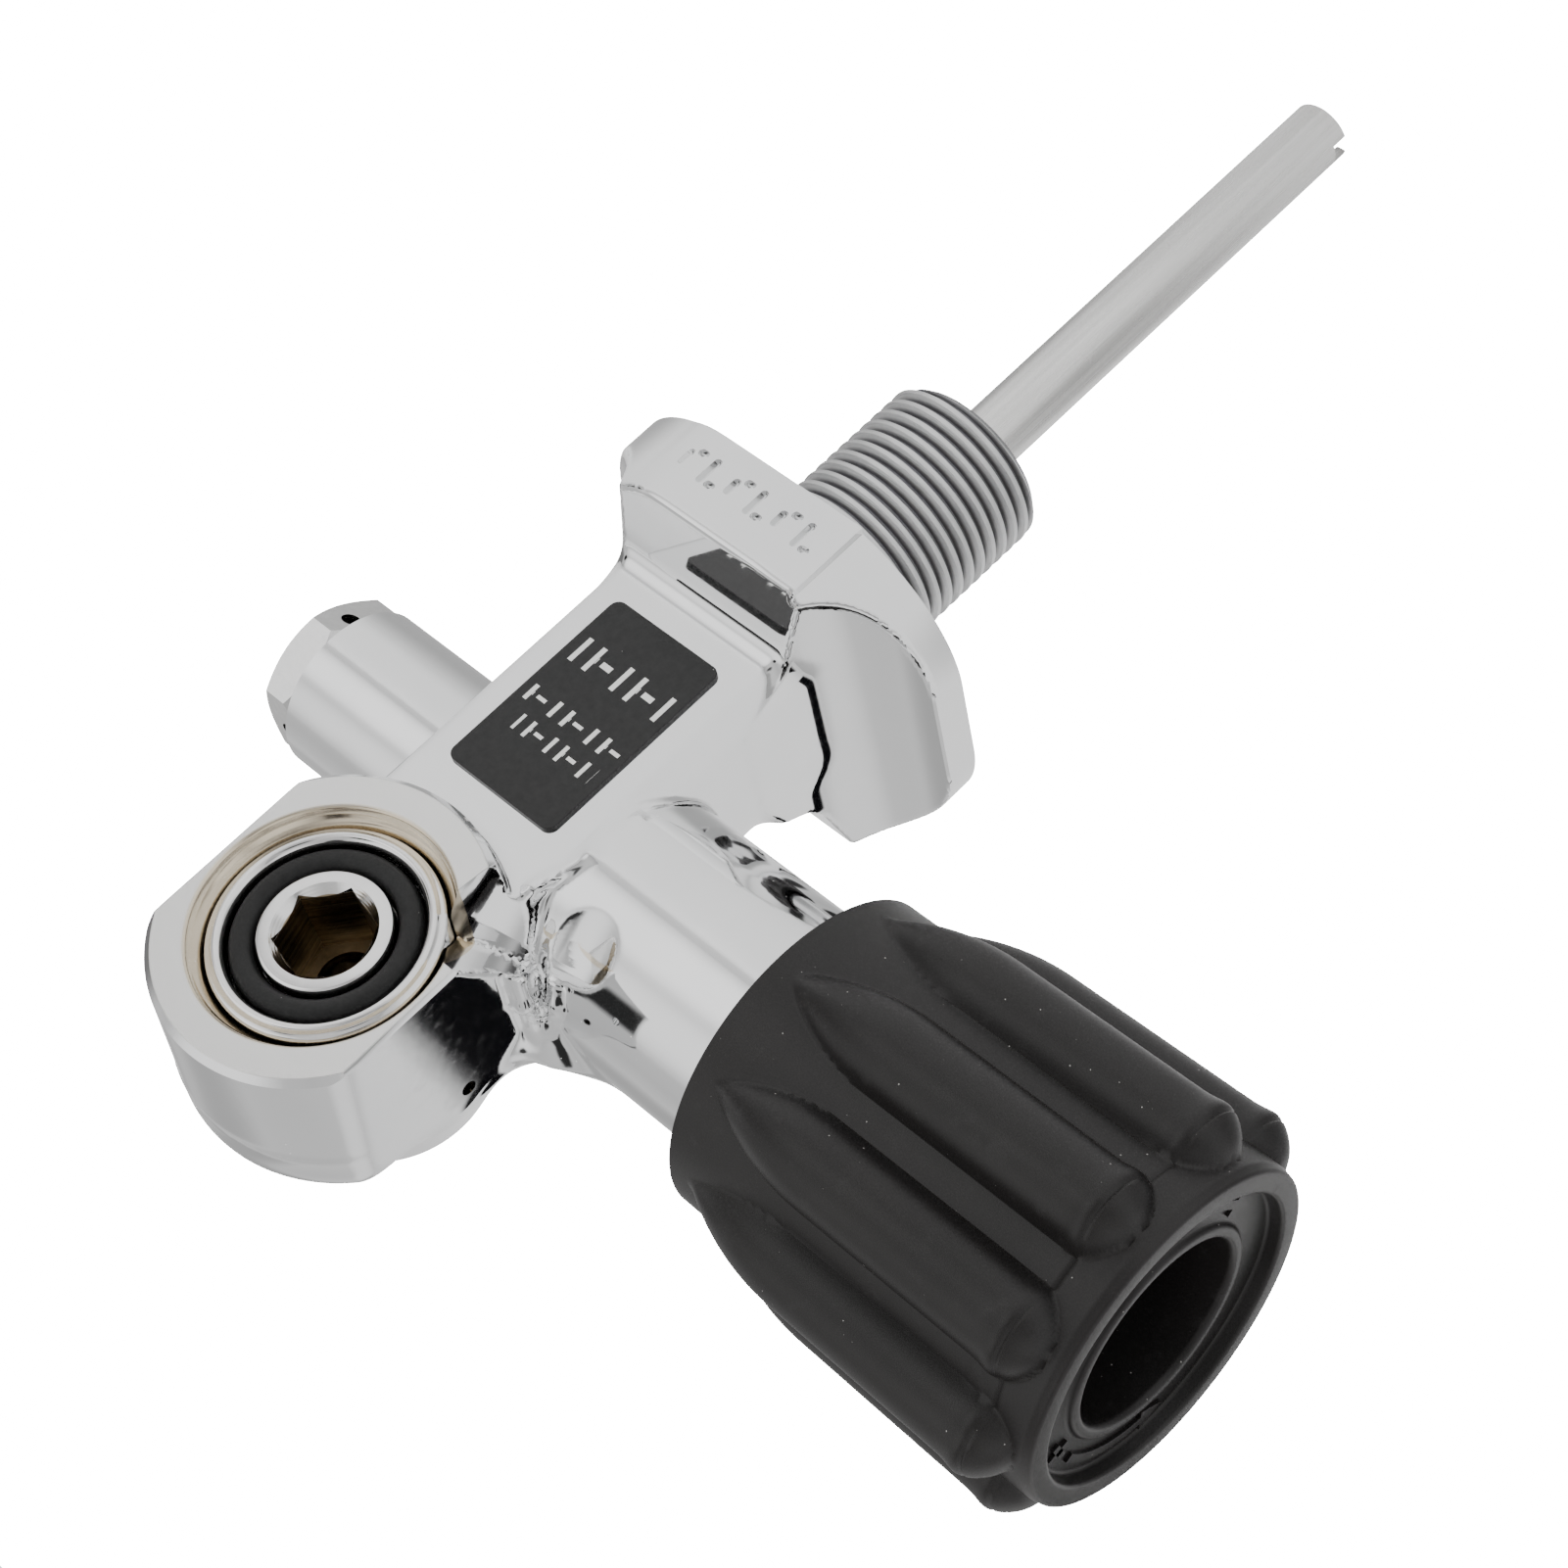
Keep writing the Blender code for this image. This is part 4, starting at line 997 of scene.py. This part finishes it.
# Handwheel grip. Black rubber moulded over the hub: a plain skirt, nine fingers that swell from
# it and end in round tips at the mould's parting line, and a dished end round the open bore.
FINGERS = 9
FINGER_START, FINGER_END, FINGER_RADIUS = 34.4, 71.7, 4.05
NOSE_SHARE, TIP_SHARE = 0.34, 0.10
SKIRT_RADIUS, PARTING_LINE = 15.70, 69.0


def finger(height, swing):
    """Radius at which one finger's surface is met, or zero beside it."""
    share = (height - FINGER_START) / (FINGER_END - FINGER_START)
    if not 0 < share < 1:
        return 0.0
    centre = 14.9 + 0.9 * share
    size = FINGER_RADIUS + 0.25 * math.exp(-((height - 68.6) / 1.3) ** 2)
    if share < NOSE_SHARE:
        size *= math.sin(share / NOSE_SHARE * math.pi / 2) ** 0.72
    tip = (share - 1 + TIP_SHARE) / TIP_SHARE
    if tip > 0:
        size *= math.sqrt(max(1 - tip ** 2, 0))
    offset = centre * math.sin(swing)
    if abs(offset) >= size or math.cos(swing) < 0:
        return 0.0
    return centre * math.cos(swing) + math.sqrt(size * size - offset * offset)


def side_radius(height, turn):
    """Radius of the grip's side: the skirt or a finger, with a small fillet between them."""
    pitch = math.tau / FINGERS
    swing = (turn + math.pi / 2 + pitch / 2) % pitch - pitch / 2
    share = min(max((height - 33.0) / 36.0, 0), 1)
    plain = SKIRT_RADIUS + 0.45 * share + 0.35 * max(share - 0.9, 0) / 0.1
    bump = finger(height, swing)
    near = max(0.55 - abs(bump - plain), 0) / 0.55
    out = max(plain, bump) + near * near * 0.55 * 0.25 * (bump > 0)
    return out * (1 - 0.011 * math.exp(-((height - PARTING_LINE) / 0.16) ** 2))


def grip_mesh():
    """The whole section, outside and inside, turned round the stem."""
    columns = 432
    skirt = [32.55 + 0.18 * i for i in range(5)]
    barrel = [33.45 + (72.4 - 33.45) * i / 150 for i in range(151)]
    outer = [(15.35, 32.5), (15.6, 32.58)] + [(None, h) for h in skirt + barrel]
    end = fillet([(16.45, 72.5), (16.3, 73.3), (14.15, 73.3), (14.0, 71.8), (10.5, 71.8), (10.25, 72.35),
                  (9.35, 72.35), (9.1, 71.9), (9.1, 58.7), (13.1, 58.7), (13.1, 42.1), (13.5, 42.1),
                  (13.5, 32.9), (13.9, 32.5)], 0.35, 4)
    points, faces = [], []
    section = outer + end
    for radius, height in section:
        for i in range(columns):
            turn = math.tau * i / columns
            out = radius or side_radius(height, turn)
            place = Vector((out * math.cos(turn), out * math.sin(turn), height))
            points.append(wheel_place @ (place * MM))
    rows = len(section)
    for row in range(rows):
        upper, lower = row * columns, (row + 1) % rows * columns
        for i in range(columns):
            j = (i + 1) % columns
            faces.append((upper + i, upper + j, lower + j, lower + i))
    return points, faces


def rubber_paint():
    paint = Paint("moulded_rubber")
    bloom = paint.noise(0.10, 5, 0.6)
    grain = paint.noise(9.0, 3, 0.6)
    rub = paint.noise(0.5, 4, 0.6).step(0.56, 0.75)
    dust = paint.specks(0.75, 0.30)
    lint = paint.specks(2.2, 0.06)
    worn = bloom.mix((0.0066, 0.0058, 0.0057), (0.0118, 0.0104, 0.0102))
    colour = (rub * 0.35).mix(worn, (0.024, 0.023, 0.023))
    spots = paint.math("MAXIMUM", dust, lint)
    colour = (spots * 0.7).mix(colour, (0.45, 0.44, 0.42))
    rough = 0.37 + grain * 0.08 + rub * 0.07 - bloom * 0.05
    return paint.finish(colour, rough, bump=grain + rub * 0.6, depth=0.014,
                        Specular_IOR_Level=0.34)


rubber = rubber_paint()
points, faces = grip_mesh()
grip = piece("moulded_grip", points, faces, rubber, angle=40)
work = bmesh.new()
work.from_mesh(grip.data)
bmesh.ops.recalc_face_normals(work, faces=work.faces)
work.to_mesh(grip.data)
work.free()
grip.data.shade_smooth()
grip.data.set_sharp_from_angle(angle=math.radians(40))
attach(grip, "handwheel")
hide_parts("handwheel_grip")

# Direction marks. Raised arrows with a plus and a minus, moulded with the rubber on the floor
# of the dished end; they show which way opens and which way shuts the valve.
MARK_FLOOR, MARK_TOP = 71.75, 72.12


def raised(name, outline, material):
    """A flat shape on the dished floor, given as local points, with its side walls."""
    count = len(outline)
    points = [wheel_place @ (Vector((x, y, h)) * MM) for h in (MARK_FLOOR, MARK_TOP) for x, y in outline]
    faces = [tuple(range(count, 2 * count)), tuple(reversed(range(count)))]
    faces += [(i, (i + 1) % count, (i + 1) % count + count, i + count) for i in range(count)]
    made = piece(name, points, faces, material)
    made.data.shade_flat()
    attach(made, "handwheel")


def polar(radius, degrees):
    return (radius * math.cos(math.radians(degrees)), radius * math.sin(math.radians(degrees)))


def arrow(name, middle, way):
    """An arrow bent round the bore, with its head on the side given by way."""
    shaft = [polar(12.75, middle + way * a) for a in range(-30, 21, 5)]
    head = [polar(radius, middle + way * a) for radius, a in ((13.5, 20), (12.3, 32), (11.1, 20))]
    back = [polar(11.85, middle + way * a) for a in range(20, -31, -5)]
    outline = shaft + head + back
    raised(name, outline if way > 0 else outline[::-1], rubber)


def bar_mark(name, middle, along, across):
    """A short bar whose length runs round or across the floor."""
    raised(name, [polar(12.3 + r * across / 2, middle + s * along / 2)
                  for r, s in ((-1, -1), (1, -1), (1, 1), (-1, 1))], rubber)


arrow("arrow_open", 55, 1)
arrow("arrow_shut", 235, -1)
bar_mark("plus_round", 12, 11, 0.75)
bar_mark("plus_across", 12, 3.4, 2.3)
bar_mark("minus_round", 278, 11, 0.75)

# Rating label. Printed black film on the front of the column, with rounded corners and three
# rows of plain white bars where a rating would be printed.
LABEL_FRONT, LABEL_HALF, LABEL_LOW, LABEL_HIGH = -12.3, 6.6, 15.4, 36.7


def label_paint():
    paint = Paint("printed_film")
    x, _, z = paint.parts()
    ink = None
    for row_low, row_high, left, right, beat in (
            (20.0, 22.9, -6.2, 6.0, 1.75), (26.5, 28.3, -6.1, 5.7, 1.55),
            (29.4, 31.2, -5.5, 4.1, 1.38)):
        row = (z > row_low) * (z < row_high) * (x > left) * (x < right)
        phase = paint.math("FRACT", (x + 20.0) / beat)
        tall = paint.math("FRACT", (x + 20.0) / (beat * 3.0)) > 0.4
        middle = (z - row_low) / (row_high - row_low)
        stroke = (phase > 0.22) * (phase < 0.52)
        dash = (middle > 0.38) * (middle < 0.60) * (phase > 0.15) * (phase < 0.85)
        mark = row * paint.math("MAXIMUM", stroke * tall, dash * (1 - tall))
        ink = mark if ink is None else paint.math("MAXIMUM", ink, mark)
    fade = paint.noise(1.5, 4, 0.6)
    film = fade.ramp((0.3, 0.013), (0.7, 0.021))
    dust = paint.specks(0.9, 0.25)
    colour = ink.mix(film, (0.80, 0.80, 0.78))
    colour = (dust * 0.6).mix(colour, (0.5, 0.5, 0.5))
    return paint.finish(colour, 0.34 + fade * 0.12, bump=paint.noise(3.0, 3), depth=0.006,
                        Specular_IOR_Level=0.3)


def rounded(half_width, low, high, radius, steps=6):
    """An upright rectangle with round corners, as (x, z) points."""
    outline = []
    right, top, bottom = half_width - radius, high - radius, low + radius
    for x, z, first in ((right, top, 0), (-right, top, 90), (-right, bottom, 180), (right, bottom, 270)):
        for i in range(steps + 1):
            a = math.radians(first + 90 * i / steps)
            outline.append((x + radius * math.cos(a), z + radius * math.sin(a)))
    return outline


edge = rounded(LABEL_HALF, LABEL_LOW, LABEL_HIGH, 1.0)
inner = rounded(LABEL_HALF - 0.06, LABEL_LOW + 0.06, LABEL_HIGH - 0.06, 0.95)
count = len(edge)
points = [(x, -11.85, z) for x, z in edge] + [(x, LABEL_FRONT + 0.05, z) for x, z in edge]
points += [(x, LABEL_FRONT, z) for x, z in inner]
faces = [tuple(range(count)), tuple(reversed(range(2 * count, 3 * count)))]
for level in (0, count):
    faces += [(level + i, level + count + i, level + count + (i + 1) % count, level + (i + 1) % count)
              for i in range(count)]
label = piece("printed_label", [Vector(p) * MM for p in points], faces, label_paint(), angle=30)
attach(label, "valve")
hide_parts("rating_label")
